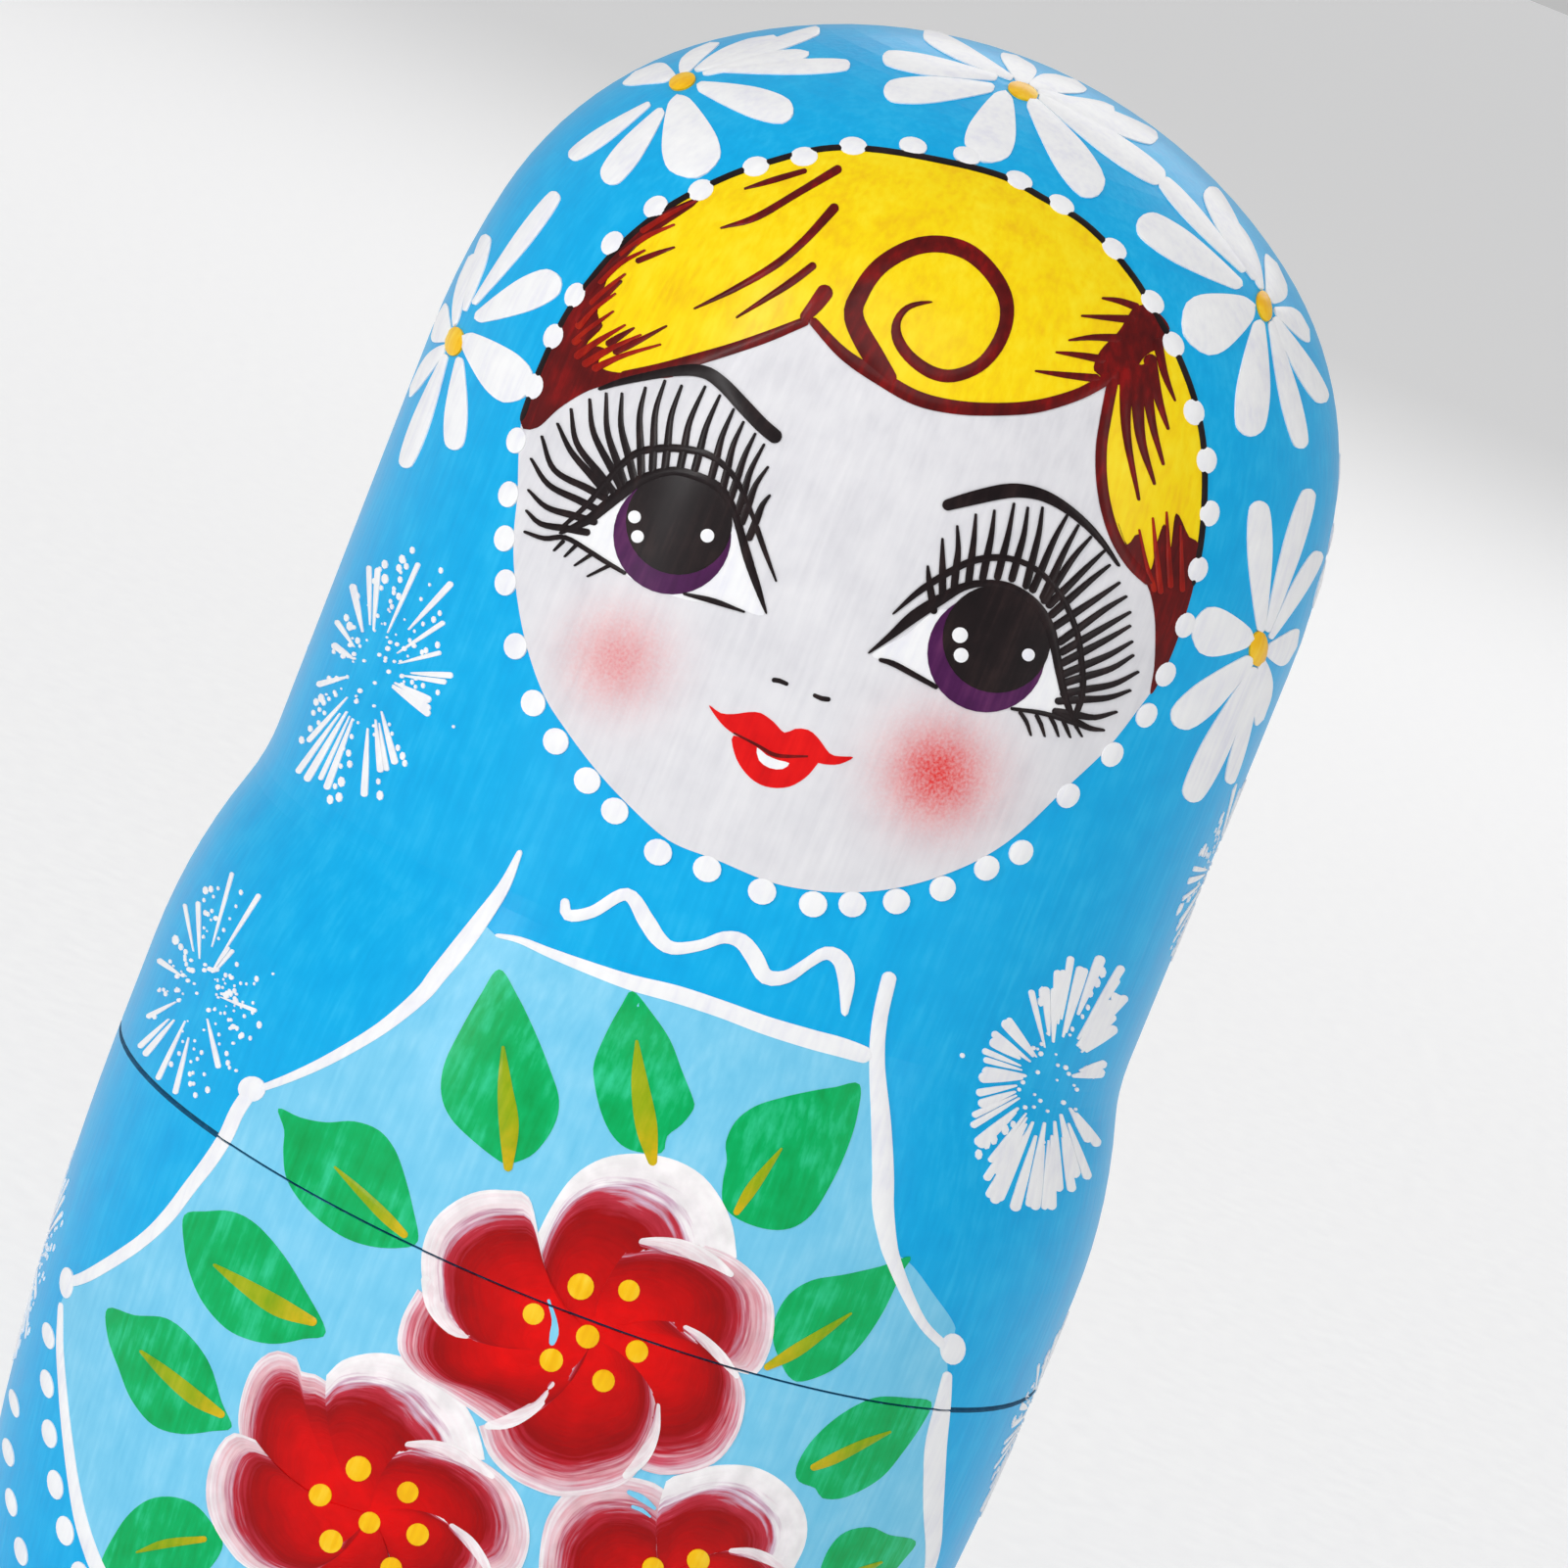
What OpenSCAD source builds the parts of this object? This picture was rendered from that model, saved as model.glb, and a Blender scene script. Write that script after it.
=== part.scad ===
// Matryoshka nesting doll, turned in wood.
// Each hollow doll is two shells: a bottom with a raised neck, and a top with the socket that the neck
// pushes into. Every hollow follows the outline of the next doll, which stands on its floor, and the
// smallest doll is solid. The origin is the middle of the outer doll's base, +Z is up, the face is at -Y.

/* [Nest] */
// Number of dolls, the solid one included
doll_count = 10; // [3:1:10]
// Room between the outer doll's hollow and the doll inside it, of the belly's radius
room_share = 0.021; // [0.015:0.001:0.034]
// Least room, which the smallest dolls come near to
room_least_share = 0.0076; // [0.006:0.0002:0.012]
// Gap that is left under each doll that stands on another one's floor
stand_gap = 0.01; // [0.005:0.005:0.05]

/* [Body of the outer doll] */
// Radius of the belly, its widest place
belly_r = 52.5; // [44:0.5:60]
// Height of the seam between the two shells
seam_z = 99.7; // [90:0.1:104]
// Height of the straight belly between the seam and the shoulder
belly_band_h = 10.3; // [8:0.1:20]
// Radius of the side's curve from the seam down to the base
lower_curve_r = 320; // [280:5:500]
// Radius of the rounded edge of the base
base_edge_r = 2.5; // [1:0.5:5]

/* [Head of the outer doll] */
// How far the belly stands out beyond the head
shoulder_step = 4.1; // [3:0.1:7]
// Height of the head's straight side
head_side_h = 44.4; // [35:0.2:55]
// Radius of the shoulder's outward curve
shoulder_curve_r = 60; // [45:1:90]
// Radius of the inward curve where the shoulder meets the head
neck_curve_r = 22; // [16:1:40]
// Radius of the cheek's curve above the straight side
cheek_curve_r = 80; // [70:1:120]
// Angle that the cheek's curve turns through
cheek_angle = 12; // [8:0.5:15]
// Radius of the crown's curve, of the head's radius
crown_curve_share = 0.765; // [0.7:0.005:0.82]
// Radius of the cap's curve over the top of the head, of the head's radius
cap_curve_share = 1.136; // [1.1:0.002:1.4]

/* [Walls of the outer doll] */
// Wall of the top round its socket, of the belly's radius
socket_wall_share = 0.0648; // [0.05:0.0002:0.085]
// Wall that socket walls come near to in the smallest dolls
socket_wall_least_share = 0.0133; // [0.011:0.0001:0.019]
// Wall of the bottom's neck, of the belly's radius
neck_wall_share = 0.0571; // [0.042:0.0001:0.075]
// Wall that necks come near to in the smallest dolls
neck_wall_least_share = 0.0133; // [0.011:0.0001:0.019]
// Thickness of the bottom's floor
floor_t = 10; // [6:0.5:14]
// Thickness that floors come near to in the smallest dolls
floor_least = 2.5; // [1.5:0.1:3]

/* [Neck and socket] */
// Height of the outer doll's neck above its seam
neck_h = 12; // [8:0.5:16]
// Height that necks come near to in the smallest dolls
neck_h_least = 2; // [1.5:0.1:3]
// Depth of the outer doll's socket beyond its neck
socket_relief = 1; // [0.5:0.1:2]
// Gap all round between a neck and its socket
fit_gap = 0.1; // [0.05:0.01:0.15]
// Bevel on the outer doll's neck rim and socket mouth
rim_bevel = 0.8; // [0.4:0.1:1.2]
// Bevel along both edges of the outer doll's seam
seam_bevel = 0.3; // [0.1:0.05:0.5]

/* [Hidden] */
// How far a cut runs past the surface that it leaves
overrun = 1;
// How far the chords of the outer doll's curves may stay inside them
chord_sag = 0.02;
$fn = 180;

head_r = belly_r - shoulder_step;
crown_curve_r = head_r * crown_curve_share;
cap_curve_r = head_r * cap_curve_share;

// Slope of the side where the shoulder's two curves meet
shoulder_angle = acos(1 - shoulder_step / (shoulder_curve_r + neck_curve_r));
belly_top_z = seam_z + belly_band_h;
neck_z = belly_top_z + (shoulder_curve_r + neck_curve_r) * sin(shoulder_angle);
head_z = neck_z + head_side_h;

// Centres of the curves, as [radius, height] in the outer doll
lower_centre = [belly_r - lower_curve_r, seam_z];
shoulder_centre = [belly_r - shoulder_curve_r, belly_top_z];
neck_centre = [head_r + neck_curve_r, neck_z];
cheek_centre = [head_r - cheek_curve_r, head_z];
crown_centre = cheek_centre + (cheek_curve_r - crown_curve_r) * [cos(cheek_angle), sin(cheek_angle)];
crown_angle = acos(crown_centre[0] / (cap_curve_r - crown_curve_r));
cap_centre = [0, crown_centre[1] - (cap_curve_r - crown_curve_r) * sin(crown_angle)];

// Slope of the side where it runs into the base's rounded edge, and the centre of that edge
edge_angle = asin((seam_z - base_edge_r) / (lower_curve_r - base_edge_r));
edge_centre = [lower_centre[0] + (lower_curve_r - base_edge_r) * cos(edge_angle), base_edge_r];

// A doll's scale against the outer one, from its belly radius
function scale_of(r) = r / belly_r;
// A size that goes from its value in the outer doll towards a least value in a very small one
function graded(outer, least, r) = least + (outer - least) * scale_of(r);

// Sizes of the doll whose belly radius is r
function socket_r(r) = r - belly_r * graded(socket_wall_share, socket_wall_least_share, r);
function neck_r(r) = socket_r(r) - fit_gap;
function neck_height(r) = graded(neck_h, neck_h_least, r);
function floor_of(r) = graded(floor_t, floor_least, r);
function neck_wall(r) = belly_r * graded(neck_wall_share, neck_wall_least_share, r);
function room_in(r) = belly_r * graded(room_share, room_least_share, r);
// Belly radius of the doll that goes inside it
function next_belly(r) = neck_r(r) - neck_wall(r) - room_in(r);

// Belly radius and base height of each doll, from the outer one in
bellies = [for (i = 0, r = belly_r; i < doll_count; i = i + 1, r = next_belly(r)) r];
bases = [for (i = 0, z = 0; i < doll_count; z = z + floor_of(bellies[i]) + stand_gap, i = i + 1) z];

function bottom_name(i) = str("doll_", i + 1, "_bottom");
function top_name(i) = str("doll_", i + 1, "_top");
solid_name = str("doll_", doll_count, "_solid");

// Points along a curve, after the one that it starts from
function arc(centre, curve_r, start, end, s) =
    let (steps = ceil(abs(end - start) / (2 * acos(1 - chord_sag * s / curve_r))))
    [for (i = [1 : steps])
        let (angle = start + (end - start) * i / steps)
        centre + curve_r * [cos(angle), sin(angle)]];

// Half outline of a doll below its seam, with the rounded edge at its base
module lower_outline(r) {
    s = scale_of(r);
    polygon(concat(
        [[0, seam_z * s], [0, 0], [edge_centre[0] * s, 0]],
        arc(edge_centre * s, base_edge_r * s, -90, -edge_angle, s),
        arc(lower_centre * s, lower_curve_r * s, -edge_angle, 0, s)
    ));
}

// Half outline of the hollow that takes the lower part of a doll, up through the rim at a given height
module lower_hollow(r, gap, rim) {
    s = scale_of(r);
    curve_r = lower_curve_r * s + gap;
    floor_angle = asin(seam_z * s / curve_r);
    polygon(concat(
        [[0, rim + overrun], [0, 0], [lower_centre[0] * s + curve_r * cos(floor_angle), 0]],
        arc(lower_centre * s, curve_r, -floor_angle, 0, s),
        [[r + gap, rim + overrun]]
    ));
}

// Half outline of a doll above its seam, or of the hollow round it when there is a gap
module upper_outline(r, gap) {
    s = scale_of(r);
    polygon(concat(
        [[0, seam_z * s], [r + gap, seam_z * s], [r + gap, belly_top_z * s]],
        arc(shoulder_centre * s, shoulder_curve_r * s + gap, 0, shoulder_angle, s),
        arc(neck_centre * s, neck_curve_r * s - gap, 180 + shoulder_angle, 180, s),
        [[head_r * s + gap, head_z * s]],
        arc(cheek_centre * s, cheek_curve_r * s + gap, 0, cheek_angle, s),
        arc(crown_centre * s, crown_curve_r * s + gap, cheek_angle, crown_angle, s),
        arc(cap_centre * s, cap_curve_r * s + gap, crown_angle, 90, s)
    ));
}

// Half outline of a plain round bore or plug between two heights
module band(radius, z1, z2) {
    translate([0, z1]) square([radius, z2 - z1]);
}

// Corner that a bevel takes off an edge at [radius, z]; out and up are 1 or -1, the sides that it opens to
module bevel(radius, z, size, out, up) {
    polygon([
        [radius - out * size, z],
        [radius + out * overrun, z - up * (size + overrun)],
        [radius + out * overrun, z + up * overrun],
        [radius - out * size, z + up * overrun]
    ]);
}

// Bottom shell: the side and the neck, with the hollow that the next doll lifts out of
module doll_bottom(r) {
    s = scale_of(r);
    seam = seam_z * s;
    rim = seam + neck_height(r);
    color("deepskyblue")
    rotate_extrude()
    difference() {
        union() {
            lower_outline(r);
            band(neck_r(r), seam - neck_height(r), rim);
        }
        translate([0, floor_of(r)]) lower_hollow(next_belly(r), room_in(r), rim - floor_of(r));
        bevel(r, seam, seam_bevel * s, 1, 1);
        bevel(neck_r(r), rim, rim_bevel * s, 1, 1);
    }
}

// Top shell: belly, shoulder and head, with the socket and the hollow over the next doll
module doll_top(r) {
    s = scale_of(r);
    seam = seam_z * s;
    color("deepskyblue")
    rotate_extrude()
    difference() {
        upper_outline(r, 0);
        band(socket_r(r), seam - overrun, seam + neck_height(r) + socket_relief * s);
        translate([0, floor_of(r)]) upper_outline(next_belly(r), room_in(r));
        bevel(r, seam, seam_bevel * s, 1, -1);
        bevel(socket_r(r), seam, rim_bevel * s, -1, -1);
    }
}

// Smallest doll, in one piece
module doll_solid(r) {
    color("deepskyblue")
    rotate_extrude() {
        lower_outline(r);
        upper_outline(r, 0);
    }
}

for (i = [0 : doll_count - 2]) translate([0, 0, bases[i]]) {
    doll_bottom(bellies[i]);
    doll_top(bellies[i]);
}
translate([0, 0, bases[doll_count - 1]]) {
    doll_solid(bellies[doll_count - 1]);
}
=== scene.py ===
import math

import bpy
import numpy as np
from mathutils import Matrix, Vector
from mathutils.geometry import delaunay_2d_cdt


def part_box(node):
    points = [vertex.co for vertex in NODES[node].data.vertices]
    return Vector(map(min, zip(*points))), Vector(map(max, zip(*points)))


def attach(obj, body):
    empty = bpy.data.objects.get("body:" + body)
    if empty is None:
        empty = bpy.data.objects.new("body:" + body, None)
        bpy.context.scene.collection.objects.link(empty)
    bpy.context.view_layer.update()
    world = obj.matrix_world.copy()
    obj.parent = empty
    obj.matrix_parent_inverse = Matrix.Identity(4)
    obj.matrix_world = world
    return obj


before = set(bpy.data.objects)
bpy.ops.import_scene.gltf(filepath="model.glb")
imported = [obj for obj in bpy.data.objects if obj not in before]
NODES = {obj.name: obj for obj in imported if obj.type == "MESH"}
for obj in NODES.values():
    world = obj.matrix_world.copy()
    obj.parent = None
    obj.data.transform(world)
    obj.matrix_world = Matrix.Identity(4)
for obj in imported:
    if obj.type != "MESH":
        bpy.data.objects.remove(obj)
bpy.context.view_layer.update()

MM = 0.001
UP = Vector((0, 0, 1))

# The camera, as the photograph was taken: place and aim in metres, lean of the doll in the picture
PICTURE = 1601
MIDDLE = PICTURE / 2
FOCAL = 7159
EYE = Vector((0, -0.7322, 0.2603))
AIM = Vector((0.0036, 0, 0.149))
LEAN = math.radians(21.85)

forward = (AIM - EYE).normalized()
level = forward.cross(UP).normalized()
rising = level.cross(forward)
camera_x = math.cos(LEAN) * level + math.sin(LEAN) * rising
camera_y = -math.sin(LEAN) * level + math.cos(LEAN) * rising
PIXELS_PER_MM = FOCAL * MM / (AIM - EYE).length

# The dolls, from the outer one in: the nodes of each, its size against the outer doll and its base
COUNT = 1 + sum(name.endswith("_bottom") for name in NODES)


def doll_nodes(number):
    """Names of the shells that carry a doll's upper and lower paint."""
    if number == COUNT:
        return {"top": f"doll_{number}_solid", "bottom": f"doll_{number}_solid"}
    return {"top": f"doll_{number}_top", "bottom": f"doll_{number}_bottom"}


def belly_of(number):
    low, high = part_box(doll_nodes(number)["bottom"])
    return (high[0] - low[0]) / 2


SIZES = {number: belly_of(number) / belly_of(1) for number in range(1, COUNT + 1)}
BASES = {number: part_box(doll_nodes(number)["bottom"])[0][2] for number in range(1, COUNT + 1)}
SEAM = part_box("doll_1_top")[0][2]

# Faces that show: how far they look out or up at least, and their least area
LEAST_OUT = 0.02
LEAST_UP = 0.3
SLIVER = 1e-11
# Rings of a shell's surface: the step in height that tells them apart, and the band left out at the seam
RING_STEP = 0.02 * MM
SEAM_BAND = 0.05 * MM


def outward(face):
    """How far a face looks away from the axis."""
    radius = math.hypot(face.center.x, face.center.y) or 1
    return (face.normal.x * face.center.x + face.normal.y * face.center.y) / radius


def shows(face):
    """Whether a face looks out or up, as the outside of a top shell does."""
    return outward(face) > LEAST_OUT or face.normal.z > LEAST_UP


def outer_rings():
    """Rings of the outer doll's surface, as rows of radius and height from the base up."""
    rings = {}
    for half, above in (("top", True), ("bottom", False)):
        mesh = NODES[doll_nodes(1)[half]].data
        for face in mesh.polygons:
            if face.area < SLIVER or not shows(face):
                continue
            for index in face.vertices:
                x, y, z = mesh.vertices[index].co
                if abs(z - SEAM) < SEAM_BAND or (z > SEAM) != above:
                    continue
                key = round(z / RING_STEP)
                rings[key] = max(rings.get(key, (0, z)), (math.hypot(x, y), z))
    return np.array([rings[key] for key in sorted(rings)])


rings = outer_rings()
RADIUS, HEIGHT = rings[:, 0], rings[:, 1]
RUN = np.concatenate([[0], np.cumsum(np.hypot(np.diff(RADIUS), np.diff(HEIGHT)))])
OUT = np.gradient(HEIGHT, RUN)
LIFT = -np.gradient(RADIUS, RUN)
SEAM_RUN = np.interp(SEAM, HEIGHT, RUN)


# Charts, from flat points to places on the outer doll: angle round the axis and run up its side.
# A camera ray is searched between two distances before the axis, in steps, and the step that meets the doll
# is halved
RAY_START, RAY_END = 0.16, 0.02
RAY_STEPS = 240
HALVINGS = 14
RAYS_AT_ONCE = 2000
# Least radius that a chart in millimetres is bent by, which the crown of the head comes under
LEAST_RADIUS = 4 * MM


def trace(pixels):
    """Places that the photograph's pixels show. A pixel just beside the doll goes to its edge."""
    pixels = np.asarray(pixels, float)
    steps = np.linspace(EYE.length - RAY_START, EYE.length - RAY_END, RAY_STEPS)
    places = []
    for some in np.array_split(pixels, max(1, len(pixels) // RAYS_AT_ONCE)):
        rays = np.array(forward) + (some[:, :1] - MIDDLE) / FOCAL * np.array(camera_x)
        rays = rays - (some[:, 1:2] - MIDDLE) / FOCAL * np.array(camera_y)

        def gap(depth):
            points = np.array(EYE) + depth[..., None] * rays[:, None, :]
            edge = np.interp(points[..., 2], HEIGHT, RADIUS, left=0, right=0)
            return np.hypot(points[..., 0], points[..., 1]) - edge

        gaps = gap(np.broadcast_to(steps, (len(rays), len(steps))))
        hit = gaps.min(axis=1) < 0
        first = np.where(hit, np.argmax(gaps < 0, axis=1), np.argmin(gaps, axis=1))
        near, far = steps[np.maximum(first - 1, 0)], steps[first]
        for _ in range(HALVINGS):
            half = (near + far) / 2
            inside_doll = gap(half[:, None])[:, 0] < 0
            near, far = np.where(inside_doll, near, half), np.where(inside_doll, half, far)
        depth = np.where(hit, far, steps[first])
        points = np.array(EYE) + depth[:, None] * rays
        angle = np.arctan2(points[:, 0], -points[:, 1])
        places.append(np.column_stack([angle, np.interp(points[:, 2], HEIGHT, RUN)]))
    return np.vstack(places)


def around(angle, run):
    """Chart round one place: flat points in millimetres, x round the doll and y up its side."""
    def chart(flat):
        runs = np.clip(run + flat[:, 1] * MM, 0, RUN[-1])
        radii = np.maximum(np.interp(runs, RUN, RADIUS), LEAST_RADIUS)
        return np.column_stack([angle + flat[:, 0] * MM / radii, runs])
    return chart


def at_height(degrees, height):
    """Chart round the place at an angle in degrees and a height in millimetres."""
    return around(math.radians(degrees), np.interp(height * MM, HEIGHT, RUN))


# Sheets of paint, flat until they are laid on the doll
class Sheet:
    """Flat points, the rise of each above the wood in millimetres, triangles, and marks for the materials."""

    def __init__(self, flat, rise, faces, **marks):
        self.flat = np.asarray(flat, float)
        self.rise = np.asarray(rise, float)
        self.faces = np.asarray(faces, int)
        self.marks = marks


def smooth(points, step, closed=False):
    """Points about a step apart on a curve through the given ones; further columns are carried along."""
    points = np.asarray(points, float)
    if closed:
        padded = np.vstack([points[-1:], points, points[:2]])
    else:
        padded = np.vstack([2 * points[0] - points[1], points, 2 * points[-1] - points[-2]])
    stretches = []
    for before, start, end, after in zip(padded, padded[1:], padded[2:], padded[3:]):
        count = max(1, math.ceil(np.linalg.norm(end[:2] - start[:2]) / step))
        t = (np.arange(count) / count)[:, None]
        bend = 2 * before - 5 * start + 4 * end - after
        twist = 3 * (start - end) + after - before
        stretches.append(start + t / 2 * (end - before + t * (bend + t * twist)))
    if not closed:
        stretches.append(points[-1:])
    return np.vstack(stretches)


def inside(points, outline):
    """Which points lie inside an outline."""
    found = np.zeros(len(points), bool)
    x, y = points[:, 0], points[:, 1]
    for (x1, y1), (x2, y2) in zip(outline, np.roll(outline, -1, axis=0)):
        if y1 == y2:
            continue
        crosses = (y1 > y) != (y2 > y)
        found ^= crosses & (x < x1 + (y - y1) * (x2 - x1) / (y2 - y1))
    return found


# Settings for the triangles inside an outline: none outside it, and the distance at which points are one
INSIDE_ONLY = 1
SAME_POINT = 0.0001


def fill(outline, spacing, rise):
    """Sheet inside a closed outline, with points about a spacing apart."""
    outline = np.asarray(outline, float)[:, :2]
    low, high = outline.min(axis=0), outline.max(axis=0)
    rows = []
    for count, y in enumerate(np.arange(low[1], high[1], spacing * math.sin(math.pi / 3))):
        x = np.arange(low[0] + count % 2 * spacing / 2, high[0], spacing)
        rows.append(np.column_stack([x, np.full(len(x), y)]))
    grid = np.vstack(rows)
    grid = grid[inside(grid, outline)]
    if len(grid):
        away = np.linalg.norm(grid[:, None, :] - outline[None, :, :], axis=2).min(axis=1)
        grid = grid[away > spacing / 2]
    points = [Vector(point) for point in np.vstack([outline, grid])]
    found = delaunay_2d_cdt(points, [], [list(range(len(outline)))], INSIDE_ONLY, SAME_POINT)
    flat = np.array([tuple(point) for point in found[0]])
    return Sheet(flat, np.full(len(flat), rise), found[2])


def grid_faces(rows, columns):
    """Triangles of a grid of points."""
    index = np.arange(rows * columns).reshape(rows, columns)
    a, b, c, d = index[:-1, :-1], index[:-1, 1:], index[1:, 1:], index[1:, :-1]
    lower = np.stack([a, b, c], axis=-1).reshape(-1, 3)
    upper = np.stack([a, c, d], axis=-1).reshape(-1, 3)
    return np.vstack([lower, upper])


# Round ends of a stroke: the angles of their points, and their least and most length, of the stroke's
CAP_TURNS = np.radians([4, 30, 55, 75])
CAP_LEAST, CAP_MOST = 0.01, 0.45


def ribbon(line, step, rise, crown, across):
    """Brush stroke along a line of x, y and width, domed across and round at both ends."""
    path = smooth(line, step)
    along = np.concatenate([[0], np.cumsum(np.hypot(*np.diff(path[:, :2], axis=0).T))])
    total = along[-1]
    caps = np.clip(path[[0, -1], 2] / 2, total * CAP_LEAST, total * CAP_MOST)
    turn = 1 - np.cos(CAP_TURNS)
    body = along[(along > caps[0]) & (along < total - caps[1])]
    spots = np.concatenate([caps[0] * turn, body, total - caps[1] * turn[::-1]])
    x, y, width = (np.interp(spots, along, path[:, column]) for column in range(3))
    to_start = np.clip(spots / caps[0], 0, 1)
    to_end = np.clip((total - spots) / caps[1], 0, 1)
    half = width / 2 * np.sqrt((2 - to_start) * to_start * (2 - to_end) * to_end)
    slope = np.stack([np.gradient(x, spots), np.gradient(y, spots)], axis=1)
    slope /= np.linalg.norm(slope, axis=1)[:, None]
    side = np.stack([-slope[:, 1], slope[:, 0]], axis=1)
    shares = np.linspace(-1, 1, across + 1)
    middle = np.stack([x, y], axis=1)
    flat = middle[:, None, :] + (side * half[:, None])[:, None, :] * shares[None, :, None]
    rises = np.broadcast_to(rise + crown * (1 - shares ** 2), flat.shape[:2])
    length = np.broadcast_to((spots / total)[:, None], flat.shape[:2])
    faces = grid_faces(len(spots), len(shares))
    return Sheet(flat.reshape(-1, 2), rises.ravel(), faces, along=length.ravel())


def dome(x, y, wide, tall, rise, crown, turn=0, sides=18, rings_in=3):
    """Round or oval drop of paint, by its two radii, turned by an angle in degrees."""
    flat, rises = [(0, 0)], [rise + crown]
    for ring in range(1, rings_in + 1):
        share = ring / rings_in
        for angle in np.linspace(0, math.tau, sides, endpoint=False):
            flat.append((wide * share * math.cos(angle), tall * share * math.sin(angle)))
            rises.append(rise + crown * (1 - share ** 2))
    faces = [(0, 1 + i, 1 + (i + 1) % sides) for i in range(sides)]
    for ring in range(rings_in - 1):
        for i in range(sides):
            a, b = 1 + ring * sides + i, 1 + ring * sides + (i + 1) % sides
            faces += [(a, a + sides, b + sides), (a, b + sides, b)]
    turn = math.radians(turn)
    spin = np.array([[math.cos(turn), math.sin(turn)], [-math.sin(turn), math.cos(turn)]])
    return Sheet(np.array(flat) @ spin + (x, y), rises, faces)


# How far a petal's brush strokes turn round the flower's heart on their way in from the rim
SWIRL = math.radians(-24)
# Shares of the way from a petal's heart to its rim at which it has points
PETAL_LEVELS = np.array([0.04, 0.3, 0.5, 0.64, 0.74, 0.82, 0.89, 0.95, 1])


def fan(rim, heart, rim_widths, rim_tones, step, rise, crown):
    """Petal from its heart to a rim. Depth counts rim widths in from it; tone is 0 for white, 1 for pink."""
    edge = smooth(rim, step)[:, :2]
    heart = np.asarray(heart, float)
    share = np.linspace(0, 1, len(edge))
    width = np.interp(share, np.linspace(0, 1, len(rim_widths)), rim_widths)
    tone = np.interp(share, np.linspace(0, 1, len(rim_tones)), rim_tones)
    across, down = (edge - heart).T[:, :, None] * PETAL_LEVELS
    turn = SWIRL * (1 - PETAL_LEVELS)
    flat = heart + np.stack([across * np.cos(turn) - down * np.sin(turn),
                             across * np.sin(turn) + down * np.cos(turn)], axis=-1)
    reach = np.linalg.norm(edge - heart, axis=1)
    depth = (1 - PETAL_LEVELS)[None, :] * reach[:, None] / width[:, None]
    rises = np.broadcast_to(rise + crown * np.sin(PETAL_LEVELS * math.pi), depth.shape)
    shares = np.broadcast_to(share[:, None], depth.shape)
    tones = np.broadcast_to(tone[:, None], depth.shape)
    return Sheet(flat.reshape(-1, 2), rises.ravel(), grid_faces(*depth.shape),
                 depth=depth.ravel(), along=shares.ravel(), tone=tones.ravel())


# Longest edge of a sheet on the outer doll, so that it follows the round of the wood, and the number of
# points that ends the halving
LONGEST = 3.6 * MM
MOST_POINTS = 60000


def halved(face, middles):
    """Triangles of a face whose edges have the given middle points, or None."""
    a, b, c = face
    ab, bc, ca = middles
    if ab is None and bc is None and ca is None:
        return [face]
    if ab is None:
        return halved((b, c, a), (bc, ca, ab))
    if bc is None and ca is None:
        return [(a, ab, c), (ab, b, c)]
    if bc is None:
        return [(a, ab, ca), (ab, b, c), (ab, c, ca)]
    if ca is None:
        return [(ab, b, bc), (a, ab, bc), (a, bc, c)]
    return [(a, ab, ca), (ab, b, bc), (ca, bc, c), (ab, bc, ca)]


def refine(sheet, chart):
    """The sheet with its long edges halved until all are short enough, and the places of its points."""
    names = list(sheet.marks)
    columns = np.column_stack([sheet.flat, sheet.rise] + [sheet.marks[name] for name in names])
    faces = [tuple(face) for face in sheet.faces]
    place = chart(sheet.flat)
    while True:
        corners = np.array(faces)
        edges = np.sort(np.concatenate([corners[:, [0, 1]], corners[:, [1, 2]], corners[:, [2, 0]]]), axis=1)
        edges = np.unique(edges, axis=0)
        start, end = place[edges[:, 0]], place[edges[:, 1]]
        radii = np.interp((start[:, 1] + end[:, 1]) / 2, RUN, RADIUS)
        long = np.hypot((end[:, 0] - start[:, 0]) * radii, end[:, 1] - start[:, 1]) > LONGEST
        if not long.any() or len(columns) > MOST_POINTS:
            break
        made = {tuple(edge): len(columns) + count for count, edge in enumerate(edges[long].tolist())}
        columns = np.vstack([columns, (columns[edges[long, 0]] + columns[edges[long, 1]]) / 2])
        place = chart(columns[:, :2])
        split = []
        for face in faces:
            pairs = zip(face, face[1:] + face[:1])
            split += halved(face, [made.get((min(pair), max(pair))) for pair in pairs])
        faces = split
    marks = {name: columns[:, 3 + count] for count, name in enumerate(names)}
    return Sheet(columns[:, :2], columns[:, 2], faces, **marks), place


# Laying the paint: each sheet is cut at the seam, and each part is kept with its half and its colour.
# How far a cut stays from the seam, and the area in radians times metres under which a triangle is dropped
SEAM_CUT = 0.12 * MM
LEAST_AREA = 1e-12


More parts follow.
